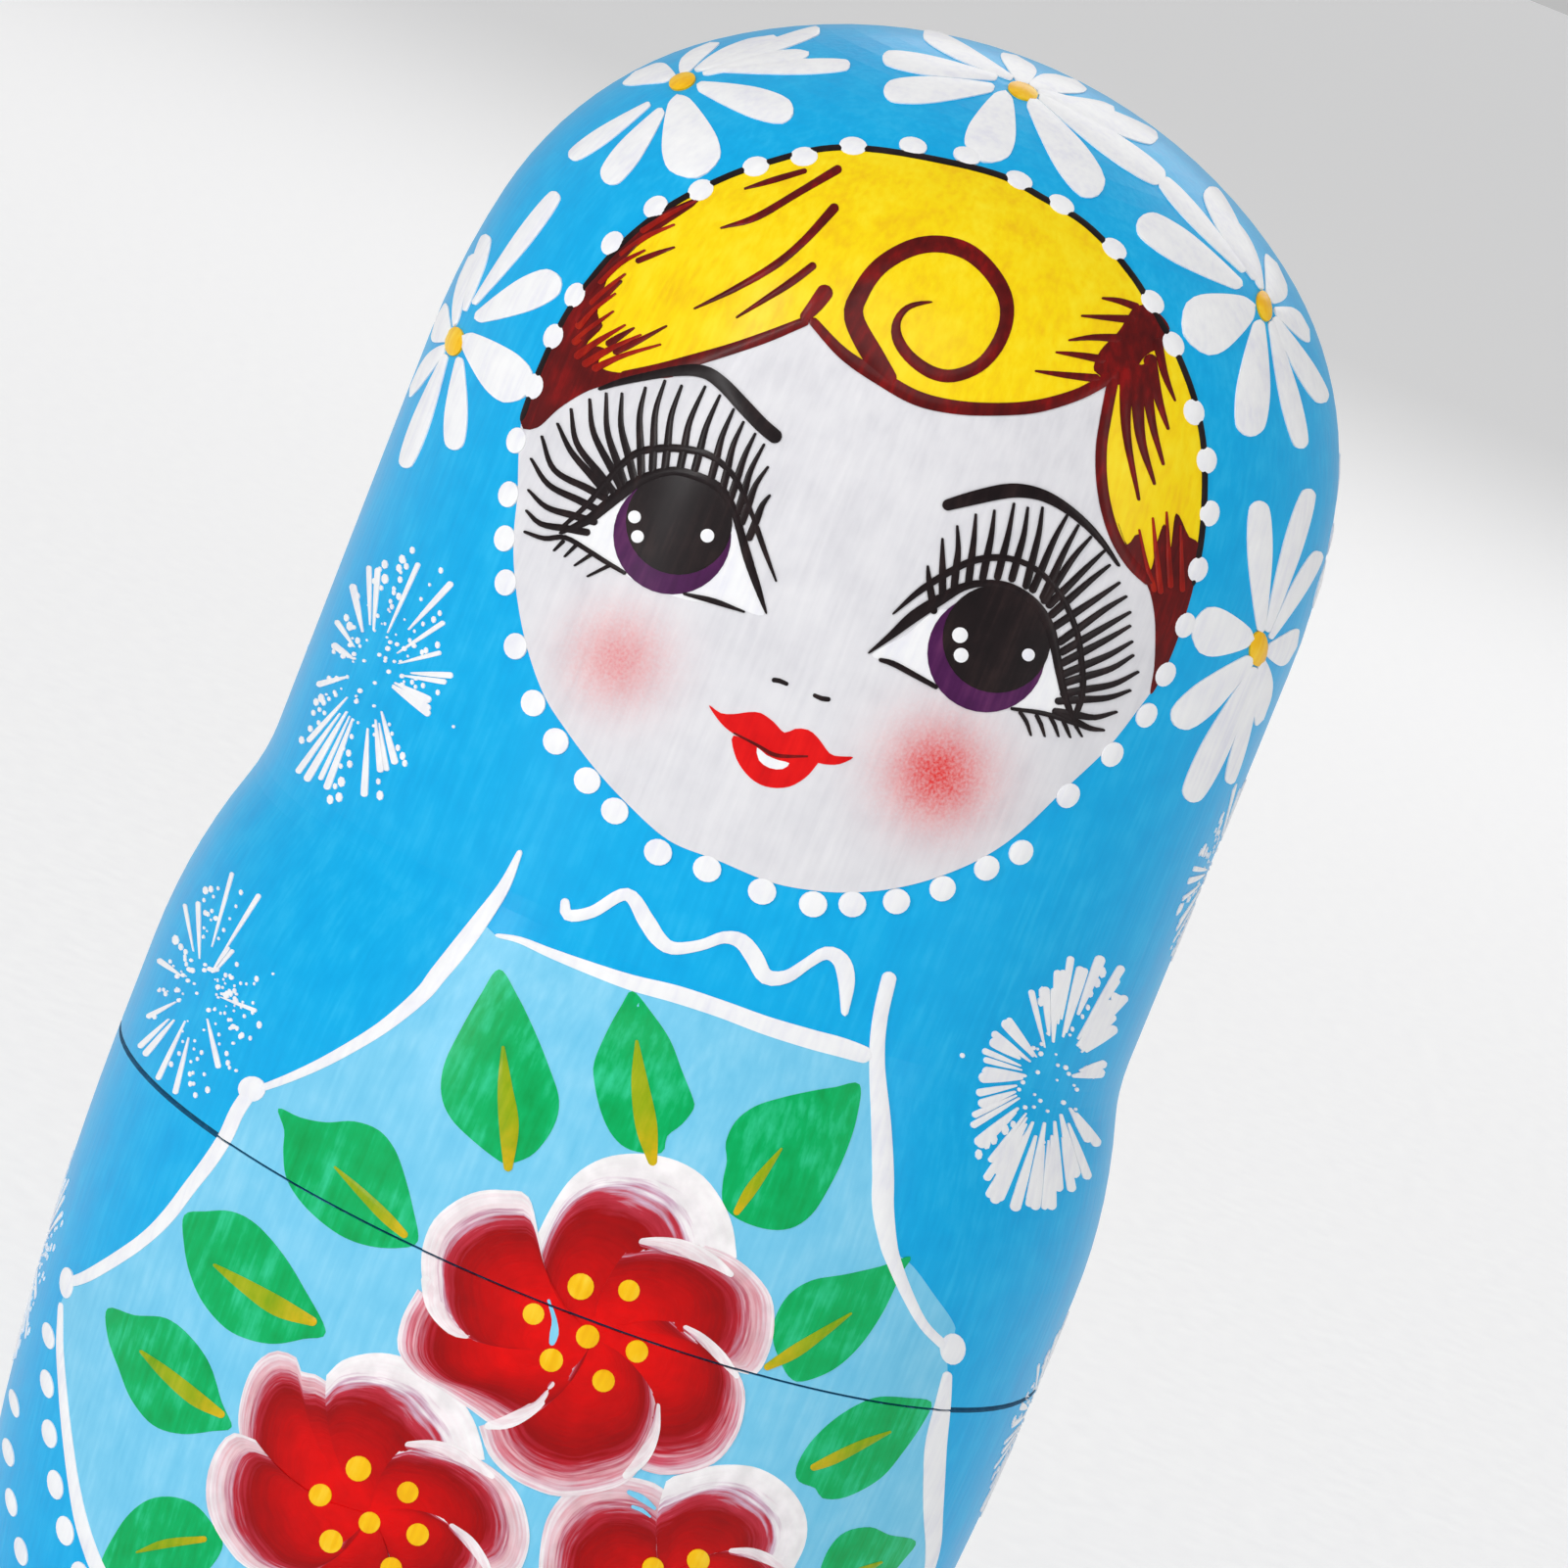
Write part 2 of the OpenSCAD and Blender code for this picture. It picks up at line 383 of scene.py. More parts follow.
def clip(place, rise, faces, marks, limit, above):
    """Part of a sheet above or below a run up the side."""
    sign = 1 if above else -1
    over = sign * (place[:, 1] - limit)
    columns = np.column_stack([place, rise] + list(marks.values()))
    extra, kept, made = [], [], {}

    def crossing(a, b):
        key = (min(a, b), max(a, b))
        if key not in made:
            share = over[a] / (over[a] - over[b])
            made[key] = len(columns) + len(extra)
            extra.append(columns[a] + share * (columns[b] - columns[a]))
        return made[key]

    for face in faces:
        loop = []
        for a, b in zip(face, np.roll(face, -1)):
            if over[a] >= 0:
                loop.append(a)
            if (over[a] >= 0) != (over[b] >= 0):
                loop.append(crossing(a, b))
        kept += [(loop[0], loop[i], loop[i + 1]) for i in range(1, len(loop) - 1)]
    if not kept:
        return None
    columns = np.vstack([columns] + [row[None, :] for row in extra])
    used, faces = np.unique(np.array(kept), return_inverse=True)
    columns = columns[used]
    named = {name: columns[:, 3 + i] for i, name in enumerate(marks)}
    return columns[:, :2], columns[:, 2], faces.reshape(-1, 3), named


class Coat:
    """All paint of one pattern, by half of the doll and colour."""

    def __init__(self):
        self.parts = {}

    def lay(self, colour, sheet, chart=trace):
        """Put a sheet where its chart says, with all triangles facing out."""
        sheet, place = refine(sheet, chart)
        corners = place[sheet.faces]
        side_a, side_b = corners[:, 1] - corners[:, 0], corners[:, 2] - corners[:, 0]
        area = side_a[:, 0] * side_b[:, 1] - side_a[:, 1] * side_b[:, 0]
        faces = np.where((area < 0)[:, None], sheet.faces[:, ::-1], sheet.faces)
        whole = (place, sheet.rise, faces[np.abs(area) > LEAST_AREA], sheet.marks)
        if place[:, 1].min() > SEAM_RUN:
            self.keep("top", colour, whole)
        elif place[:, 1].max() < SEAM_RUN:
            self.keep("bottom", colour, whole)
        else:
            self.keep("top", colour, clip(*whole, SEAM_RUN + SEAM_CUT, True))
            self.keep("bottom", colour, clip(*whole, SEAM_RUN - SEAM_CUT, False))

    def keep(self, half, colour, part):
        if part is not None and len(part[2]):
            self.parts.setdefault((half, colour), []).append(part)


def close(faces, count):
    """Faces that make a sheet a closed thin body: top, underside and the walls round its edge."""
    edges = np.concatenate([faces[:, [0, 1]], faces[:, [1, 2]], faces[:, [2, 0]]])
    keys = np.sort(edges, axis=1)
    _, first, uses = np.unique(keys[:, 0] * count + keys[:, 1], return_index=True, return_counts=True)
    rim = edges[first[uses == 1]]
    walls = np.column_stack([rim[:, 1], rim[:, 0], rim[:, 0] + count, rim[:, 1] + count])
    under = faces[:, ::-1] + count
    return faces.tolist() + under.tolist() + walls.tolist()


# Least thickness of paint, of the outer doll's, how far its underside is sunk in the wood in millimetres,
# the angle of a sharp edge, and the marks that materials read
LEAST_RISE = 0.4
SUNK = 0.15
SHARP_EDGE = math.radians(35)
MARKS = ("along", "depth", "tone", "blush")


def place_on(number, place, rise):
    """Points of a sheet on a doll. Paint gets thinner with the doll, down to a share of the outer doll's."""
    size = SIZES[number]
    lift = rise * MM * max(size, LEAST_RISE) / size
    radius = np.interp(place[:, 1], RUN, RADIUS) + lift * np.interp(place[:, 1], RUN, OUT)
    height = np.interp(place[:, 1], RUN, HEIGHT) + lift * np.interp(place[:, 1], RUN, LIFT)
    x, y = radius * np.sin(place[:, 0]), -radius * np.cos(place[:, 0])
    return np.column_stack([x * size, y * size, height * size + BASES[number]])


def build(number, half, colour, parts, material):
    """One piece of a doll: all its paint of one colour on one half."""
    points, faces, marks = [], [], {}
    for place, rise, top_faces, named in parts:
        start = sum(len(some) for some in points)
        points += [place_on(number, place, rise), place_on(number, place, np.full(len(place), -SUNK))]
        faces += [[index + start for index in face] for face in close(top_faces, len(place))]
        for name in MARKS:
            values = named.get(name, np.zeros(len(place)))
            marks.setdefault(name, []).append(np.concatenate([values, values]))
    name = f"doll_{number}_{half}_{colour}"
    mesh = bpy.data.meshes.new(name)
    mesh.from_pydata(np.vstack(points).tolist(), [], faces)
    for mark, values in marks.items():
        values = np.concatenate(values)
        if values.any():
            mesh.attributes.new(mark, "FLOAT", "POINT").data.foreach_set("value", values)
    mesh.shade_smooth()
    mesh.set_sharp_from_angle(angle=SHARP_EDGE)
    mesh.materials.append(material)
    mesh.validate()
    piece = bpy.data.objects.new(name, mesh)
    bpy.context.scene.collection.objects.link(piece)
    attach(piece, doll_nodes(number)[half])


# Where the motifs are in the photograph: pixels, and for strokes the brush's width in pixels
FACE_EDGE = [
    (841, 153), (895, 154), (970, 167), (1025, 182), (1064, 203), (1100, 224), (1129, 250), (1158, 286),
    (1176, 316), (1198, 355), (1217, 403), (1227, 449), (1229, 494), (1226, 546), (1217, 598), (1203, 645),
    (1186, 688), (1160, 726), (1128, 766), (1086, 806), (1040, 850), (1000, 877), (955, 896), (912, 907),
    (870, 911), (830, 909), (785, 900), (732, 878), (683, 858), (640, 820), (608, 785), (578, 745),
    (555, 708), (537, 655), (527, 598), (525, 550), (529, 505), (533, 431), (552, 379), (577, 326),
    (602, 289), (634, 252), (669, 222), (704, 200), (746, 180), (784, 167)]
DOT_RING = [
    (772, 171), (821, 161), (871, 150), (932, 150), (987, 160), (1040, 185), (1083, 210), (1137, 255),
    (1176, 309), (1197, 352), (1218, 421), (1231, 470), (1234, 524), (1222, 581), (1209, 638), (1189, 688),
    (1170, 730), (1135, 770), (1090, 812), (1042, 870), (1007, 886), (962, 907), (915, 920), (870, 923),
    (830, 923), (778, 910), (722, 887), (672, 870), (628, 828), (600, 797), (568, 757), (545, 718),
    (527, 660), (517, 595), (516, 550), (520, 505), (528, 450), (546, 395), (566, 344), (588, 302),
    (626, 249), (670, 212), (716, 195)]
# Blushes by their middle, reach and strength, and how fast they fade
BLUSHES = [(631, 673, 62, 0.62), (957, 790, 68, 1)]
BLUSH_FADE = 1.7

# Hair: the yellow locks, their brown outlines, the dark roots, single strands and lighter streaks
LEFT_LOCK_EDGE = [
    (821, 324), (784, 341), (746, 354), (709, 365), (672, 375), (634, 381), (604, 386)]
LEFT_LOCK_LINE = [
    (826, 327, 9), (784, 344, 11), (746, 357, 11), (709, 368, 12), (672, 378, 12), (634, 385, 10)]
CENTRE_LOCK_EDGE = [
    (830, 328), (862, 364), (902, 390), (937, 410), (976, 419), (1019, 421), (1058, 418), (1097, 406),
    (1123, 393), (1139, 384)]
CENTRE_LOCK_LINE = [
    (828, 326, 9), (862, 362, 12), (902, 388, 15), (937, 407, 15), (976, 416, 14), (1019, 418, 13),
    (1058, 415, 13), (1097, 404, 12), (1123, 391, 12), (1140, 380, 10)]
SIDE_LOCK_EDGE = [
    (1136, 387), (1129, 423), (1124, 455), (1124, 488), (1129, 520), (1139, 550), (1155, 576), (1175, 595)]
CURL = [
    (912, 393, 16), (893, 366, 22), (872, 325, 20), (879, 299, 18), (898, 273, 17), (928, 255, 17),
    (957, 250, 17), (986, 257, 17), (1009, 276, 16), (1025, 302, 15), (1027, 328, 14), (1017, 354, 14),
    (999, 374, 13), (973, 384, 13), (950, 380, 13), (928, 364, 12), (916, 345, 11), (916, 328, 8),
    (926, 315, 6), (941, 310, 4), (952, 309, 2)]
LEFT_ROOT = [
    (533, 432), (552, 379), (577, 327), (602, 290), (634, 253), (669, 223), (712, 203), (709, 211),
    (672, 236), (636, 264), (620, 288), (611, 320), (616, 334), (600, 352), (618, 356), (612, 374),
    (640, 381), (690, 372), (690, 384), (669, 387), (634, 391), (602, 399), (572, 417), (549, 437)]
RIGHT_ROOT = [
    (1159, 313), (1179, 318), (1193, 336), (1185, 354), (1168, 364), (1150, 390), (1136, 392), (1120, 382),
    (1116, 375), (1123, 358), (1142, 338)]
SIDE_ROOT = [
    (1141, 534), (1150, 556), (1162, 545), (1173, 582), (1181, 552), (1188, 535), (1194, 560), (1200, 524),
    (1213, 548), (1224, 556), (1219, 590), (1212, 618), (1200, 655), (1186, 688), (1174, 708), (1178, 680),
    (1179, 644), (1177, 620), (1171, 598), (1158, 580)]
HAIR_STRANDS = [
    [(760, 194, 2), (790, 185, 6), (824, 175, 5)],
    [(736, 234, 2), (772, 223, 7), (815, 198, 7), (859, 172, 9)],
    [(650, 268, 6), (670, 260, 5), (690, 253, 2)],
    [(709, 316, 2), (750, 296, 6), (791, 272, 8), (821, 247, 8), (855, 210, 10)],
    [(752, 325, 2), (785, 304, 6), (808, 289, 8), (833, 270, 8)],
    [(627, 361, 7), (650, 350, 6), (682, 333, 2)],
    [(819, 328, 10), (833, 312, 15), (847, 293, 18)],
    [(590, 330, 9), (612, 309, 7), (636, 287, 3)],
    [(594, 347, 9), (604, 340, 6), (616, 332, 2)],
    [(620, 353, 8), (634, 344, 6), (649, 335, 2)],
    [(600, 300, 9), (622, 277, 7), (652, 250, 2)],
    [(1056, 379, 2), (1085, 383, 6), (1122, 387, 9)],
    [(1077, 360, 2), (1100, 363, 6), (1128, 368, 9)],
    [(1090, 348, 2), (1115, 345, 6), (1144, 346, 9)],
    [(1103, 323, 2), (1130, 325, 6), (1158, 327, 9)],
    [(1124, 305, 2), (1142, 308, 6), (1162, 315, 8)],
    [(1150, 376, 16), (1149, 439, 9), (1162, 511, 3)],
    [(1160, 372, 16), (1163, 442, 10), (1178, 495, 3)],
    [(1167, 372, 14), (1175, 430, 8), (1187, 475, 3)],
    [(1172, 362, 14), (1181, 405, 9), (1192, 439, 3)],
    [(1180, 346, 10), (1188, 382, 7), (1199, 410, 2)]]
ROOT_STREAKS = [
    [(655, 238, 6), (684, 220, 5), (712, 206, 2)], [(634, 262, 6), (660, 243, 5), (690, 230, 2)],
    [(612, 290, 7), (634, 270, 5), (660, 256, 2)], [(604, 312, 7), (620, 296, 5), (640, 280, 2)],
    [(590, 336, 8), (608, 316, 5), (630, 300, 2)], [(586, 352, 8), (606, 334, 5), (628, 318, 2)],
    [(588, 366, 8), (610, 350, 6), (640, 332, 2)], [(596, 374, 8), (622, 358, 6), (656, 342, 2)],
    [(606, 378, 8), (636, 364, 5), (676, 352, 2)], [(1178, 604, 6), (1169, 574, 4), (1162, 540, 2)],
    [(1184, 606, 6), (1180, 570, 5), (1176, 528, 2)],
    [(1194, 600, 6), (1192, 566, 5), (1190, 522, 2)], [(1206, 604, 6), (1205, 570, 4), (1204, 536, 2)]]

# Eyes: iris and pupil, white corners, lids, lashes from tip to lid, brows
EYES = [
    {"iris": (687, 547, 60), "pupil": (694, 533, 54),
     "glints": [(649, 528, 6.5), (652, 548, 6.5), (723, 547, 7)],
     "white": [(578, 545), (605, 534), (632, 512), (700, 520), (755, 545), (782, 624), (745, 618), (700, 612),
               (655, 596), (618, 573)],
     "outer_lid": [(572, 541, 3), (601, 515, 5), (618, 494, 6), (647, 465, 7), (675, 458, 8), (702, 459, 8),
                   (727, 466, 7), (748, 484, 6), (761, 507, 5), (773, 538, 4)],
     "inner_lid": [(572, 545, 3), (600, 532, 9), (618, 518, 11), (640, 500, 12), (660, 488, 10),
                   (689, 481, 9), (719, 489, 9), (738, 501, 9), (750, 522, 8), (757, 545, 8), (764, 570, 9),
                   (774, 600, 7), (783, 627, 2)],
     "lashes": [
         [(538, 521), (553, 535), (580, 540)], [(540, 500), (559, 518), (588, 527)],
         [(543, 468), (561, 495), (592, 511)], [(554, 445), (567, 480), (601, 499)],
         [(570, 432), (584, 461), (606, 487)], [(584, 417), (590, 453), (614, 485)],
         [(603, 407), (607, 442), (626, 480)], [(620, 401), (621, 440), (632, 475)],
         [(636, 401), (635, 435), (643, 468)], [(660, 395), (654, 425), (655, 463)],
         [(680, 388), (670, 421), (668, 459)], [(697, 393), (686, 425), (682, 458)],
         [(721, 394), (705, 430), (699, 459)], [(736, 403), (722, 435), (715, 461)],
         [(750, 417), (738, 445), (732, 468)], [(760, 430), (749, 455), (743, 480)],
         [(772, 442), (761, 465), (753, 489)], [(781, 453), (767, 480), (760, 503)],
         [(785, 476), (772, 495), (765, 514)], [(787, 505), (779, 515), (773, 530)]],
     "lower": [[(536, 543, 3), (557, 550, 5), (578, 549, 5), (601, 562, 5), (618, 573, 5), (640, 586, 4)],
               [(577, 552, 4), (566, 563, 2)], [(590, 556, 4), (577, 569, 2)], [(605, 566, 4), (587, 578, 2)],
               [(624, 577, 4), (600, 589, 2)], [(698, 606, 3), (730, 614, 6), (761, 625, 2)],
               [(772, 536, 6), (781, 562, 5), (793, 594, 2)]],
     "brow": [(612, 398, 3), (640, 389, 7), (690, 379, 11), (719, 380, 13), (738, 392, 14), (759, 414, 15),
              (778, 434, 15), (797, 450, 15)]},
    {"iris": (1006.5, 667, 60), "pupil": (1017, 652, 55),
     "glints": [(979.5, 648, 8), (980.6, 668.5, 7.5), (1049, 668, 6.5)],
     "white": [(890, 668), (925, 648), (961, 622), (1010, 640), (1075, 660), (1085, 700), (1096, 735),
               (1040, 722), (990, 716), (952, 697), (915, 678)],
     "outer_lid": [(911, 627, 2), (935, 606, 6), (952, 594, 7), (972, 582, 7), (991, 573, 7), (1013, 569, 7),
                   (1035, 571, 6), (1054, 579, 6), (1070, 592, 6), (1085, 612, 6), (1093, 629, 6),
                   (1100, 650, 6), (1103, 672, 6), (1105, 696, 6), (1102, 717, 6), (1094, 735, 5)],
     "inner_lid": [(886, 667, 2), (909, 649, 7), (933, 629, 12), (961, 611, 11), (983, 599, 8),
                   (1004, 595, 7), (1026, 597, 7), (1043, 605, 8), (1059, 619, 9), (1071, 640, 10),
                   (1077, 665, 9), (1082, 691, 8), (1088, 715, 7), (1099, 738, 5), (1126, 745, 2)],
     "lashes": [
         [(947, 577), (948, 590), (950, 603)], [(962, 549), (962, 570), (962, 588)],
         [(977, 536), (978, 560), (976, 579)], [(996, 524), (994, 550), (991, 574)],
         [(1015, 520), (1012, 545), (1007, 570)], [(1035, 513), (1029, 545), (1023, 569)],
         [(1049, 517), (1045, 545), (1038, 571)], [(1064, 517), (1060, 545), (1052, 578)],
         [(1090, 524), (1076, 550), (1062, 583)], [(1101, 535), (1087, 561), (1073, 591)],
         [(1114, 547), (1096, 568), (1077, 596)], [(1128, 561), (1108, 580), (1085, 603)],
         [(1133, 576), (1113, 592), (1088, 614)], [(1143, 594), (1120, 610), (1093, 628)],
         [(1150, 608), (1127, 622), (1098, 643)], [(1154, 624), (1130, 638), (1101, 655)],
         [(1154, 638), (1130, 652), (1102, 667)], [(1156, 654), (1132, 668), (1104, 680)],
         [(1157, 668), (1134, 682), (1105, 691)], [(1162, 685), (1136, 698), (1105, 704)],
         [(1154, 704), (1130, 712), (1100, 714)], [(1140, 726), (1117, 732), (1097, 729)],
         [(1127, 745), (1112, 743), (1097, 736)]],
     "lower": [[(897, 673, 4), (911, 677, 6), (930, 687, 6), (957, 702, 5)],
               [(1031, 723, 3), (1065, 728, 5), (1100, 739, 5)],
               [(1040, 726, 4), (1047, 736, 4), (1052, 751, 2)],
               [(1057, 729, 4), (1062, 739, 4), (1066, 752, 2)],
               [(1071, 731, 4), (1076, 740, 4), (1080, 752, 2)],
               [(1084, 734, 4), (1088, 743, 4), (1092, 753, 2)],
               [(1096, 738, 4), (1100, 745, 3), (1104, 752, 2)]],
     "brow": [(962, 517, 11), (991, 509, 14), (1022, 502, 15), (1043, 501, 14), (1065, 506, 12),
              (1087, 518, 10), (1109, 536, 8), (1126, 555, 6), (1142, 578, 3)]}]
# Widths of a lash from its tip to the lid, and how far it runs on under the lid
LASH_WIDTHS = (2.5, 5.5, 7.5)
LASH_REACH = 24

# Nose and mouth
NOSE = [[(788, 694, 5), (796, 695, 5), (805, 699, 4)], [(830, 709, 4), (839, 713, 5), (848, 714, 5)]]
UPPER_LIP = [
    (724, 720), (736, 728), (749, 729), (765, 727), (777, 728), (790, 737), (801, 748), (812, 744),
    (825, 745), (835, 753), (847, 769), (857, 772), (871, 773), (857, 780), (841, 780), (825, 776),
    (806, 776), (790, 771), (774, 762), (761, 755), (749, 749), (736, 738)]
LOWER_LIP = [
    (749, 751), (750, 769), (758, 785), (771, 798), (787, 804), (806, 803), (822, 794), (832, 783),
    (836, 775), (820, 773), (795, 772), (775, 763)]
MOUTH_GAP = [(773, 763), (775, 776), (786, 784), (799, 785), (806, 779), (795, 776), (783, 771)]
LIP_LINE = [(749, 748, 2), (774, 761, 3), (793, 771, 4), (825, 772, 2)]

# Apron: the scalloped white border, some of it below the picture, the ruffle above it and its blobs
WAVY_LINE = [
    (577, 917, 8), (580, 934, 12), (605, 931, 12), (640, 913, 13), (660, 940, 17), (672, 958, 16),
    (687, 968, 13), (715, 965, 11), (739, 957, 12), (757, 961, 16), (770, 977, 18), (782, 997, 16),
    (803, 997, 13), (825, 983, 11), (843, 973, 13), (858, 980, 17), (864, 1001, 17), (862, 1037, 6)]
APRON_TOP = [
    (506, 955, 4), (531, 960, 7), (562, 973, 10), (601, 988, 13), (644, 1003, 16), (690, 1015, 18),
    (736, 1030, 18), (782, 1047, 19), (828, 1061, 20), (858, 1069, 20), (889, 1079, 17)]
APRON_LEFT_1 = [
    (532, 868, 5), (515, 905, 12), (491, 940, 17), (470, 968, 19), (448, 995, 18), (430, 1017, 16),
    (390, 1050, 13), (340, 1080, 11), (300, 1099, 9), (266, 1112, 7)]
APRON_LEFT_2 = [
    (257, 1114, 15), (243, 1135, 15), (231, 1161, 15), (215, 1186, 15), (195, 1212, 14), (173, 1241, 14),
    (151, 1263, 13), (125, 1282, 13), (90, 1303, 12), (70, 1310, 10)]
APRON_LEFT_3 = [
    (63, 1330, 5), (62, 1372, 7), (64, 1407, 8), (67, 1443, 9), (71, 1478, 10), (76, 1514, 11),
    (83, 1550, 13), (92, 1580, 14), (104, 1608, 15), (140, 1675, 16), (195, 1745, 15), (266, 1804, 10)]
APRON_FOOT = [
    (280, 1812, 9), (370, 1858, 16), (480, 1893, 19), (580, 1903, 18), (648, 1892, 9)]
APRON_RIGHT_1 = [
    (909, 992, 15), (898, 1041, 15), (895, 1087, 16), (899, 1146, 20), (901, 1198, 22), (901, 1232, 22),
    (906, 1267, 18), (912, 1288, 15), (926, 1322, 12), (943, 1353, 10), (966, 1376, 10)]
APRON_RIGHT_2 = [
    (967, 1400, 9), (962, 1433, 16), (955, 1474, 22), (953, 1509, 22), (952, 1543, 20), (952, 1575, 16),
    (948, 1602, 10), (940, 1620, 6)]
APRON_RIGHT_3 = [(931, 1634, 7), (893, 1690, 12), (832, 1765, 16), (750, 1845, 16), (664, 1889, 9)]
APRON_BLOBS = [
    (258, 1112, 14, 13), (69, 1310, 7, 16), (972, 1377, 13, 16), (272, 1808, 13, 13), (656, 1891, 14, 12),
    (936, 1627, 6, 10)]
APRON_STRIP = [(912, 1283), (929, 1290), (952, 1320), (975, 1356), (960, 1372), (943, 1353), (926, 1322)]

# Leaves: the edge, and the vein from its thin end
LEAVES = [
    {"edge": [(510, 990), (528, 1016), (546, 1053), (562, 1093), (571, 1124), (565, 1151), (546, 1177),
              (525, 1187), (513, 1187), (485, 1166), (461, 1142), (451, 1117), (454, 1087), (470, 1053),
              (491, 1016)],
     "vein": [(514, 1068, 3), (516, 1110, 15), (520, 1150, 20), (519, 1196, 8)]},
    {"edge": [(646, 1012), (666, 1035), (684, 1062), (696, 1093), (707, 1121), (708, 1132), (696, 1148),
              (681, 1160), (675, 1177), (644, 1174), (626, 1160), (614, 1136), (607, 1105), (607, 1084),
              (620, 1053), (635, 1026)],
     "vein": [(650, 1062, 3), (653, 1105, 17), (660, 1150, 22), (667, 1190, 8)]},
    {"edge": [(877, 1107), (852, 1110), (828, 1114), (797, 1121), (770, 1130), (751, 1145), (741, 1166),
              (742, 1185), (738, 1206), (738, 1228), (751, 1243), (779, 1254), (806, 1254), (828, 1240),
              (846, 1212), (862, 1179), (874, 1142)],
     "vein": [(798, 1172, 2), (783, 1192, 8), (766, 1215, 12), (750, 1240, 6)]},
    {"edge": [(285, 1132), (307, 1141), (333, 1146), (362, 1145), (387, 1154), (403, 1173), (413, 1199),
              (422, 1234), (427, 1267), (409, 1274), (377, 1272), (346, 1260), (314, 1234), (294, 1205),
              (290, 1177), (291, 1154)],
     "vein": [(342, 1191, 2), (368, 1216, 9), (394, 1242, 12), (416, 1263, 7)]},
    {"edge": [(189, 1241), (211, 1237), (237, 1237), (262, 1250), (288, 1279), (310, 1314), (333, 1360),
              (310, 1367), (282, 1372), (256, 1368), (231, 1356), (208, 1330), (195, 1301), (189, 1272)],
     "vein": [(219, 1291, 3), (250, 1312, 14), (285, 1334, 20), (324, 1351, 8)]},
    {"edge": [(111, 1336), (138, 1343), (170, 1346), (195, 1365), (215, 1394), (227, 1432), (237, 1457),
              (218, 1461), (186, 1464), (157, 1455), (135, 1429), (122, 1397), (111, 1365)],
     "vein": [(144, 1379, 3), (170, 1402, 13), (200, 1427, 16), (230, 1446, 7)]},
    {"edge": [(104, 1606), (122, 1560), (147, 1534), (173, 1528), (199, 1536), (218, 1557), (228, 1577),
              (214, 1602), (190, 1620), (150, 1622)],
     "vein": [(140, 1585, 2), (170, 1576, 9), (212, 1571, 6)]},
    {"edge": [(929, 1283), (898, 1293), (863, 1301), (829, 1307), (805, 1322), (791, 1346), (789, 1367),
              (794, 1384), (805, 1405), (819, 1410), (850, 1398), (877, 1374), (901, 1339), (919, 1301)],
     "vein": [(869, 1340, 2), (840, 1360, 9), (810, 1380, 13), (780, 1397, 6)]},
    {"edge": [(950, 1431), (926, 1427), (898, 1426), (877, 1433), (850, 1450), (826, 1474), (813, 1498),
              (815, 1512), (832, 1519), (839, 1529), (863, 1528), (898, 1509), (922, 1481), (943, 1450)],
     "vein": [(909, 1461, 2), (880, 1474, 9), (850, 1489, 11), (827, 1499, 6)]},
    {"edge": [(934, 1573), (908, 1567), (888, 1559), (863, 1564), (846, 1581), (836, 1608), (838, 1632),
              (866, 1636), (900, 1615), (922, 1592)],
     "vein": [(900, 1594, 2), (874, 1606, 9), (846, 1622, 7)]},
    {"edge": [(170, 1690), (200, 1668), (240, 1660), (272, 1672), (285, 1694), (270, 1716), (240, 1728),
              (205, 1724)], "vein": [(200, 1697, 2), (240, 1693, 11), (280, 1692, 7)]},
    {"edge": [(430, 1850), (420, 1815), (432, 1780), (462, 1762), (488, 1778), (490, 1812), (468, 1842)],
     "vein": [(446, 1826, 2), (458, 1800, 12), (466, 1768, 7)]},
    {"edge": [(850, 1745), (822, 1762), (790, 1758), (768, 1738), (772, 1712), (800, 1700), (832, 1716)],
     "vein": [(828, 1742, 2), (802, 1731, 12), (774, 1718, 7)]}]

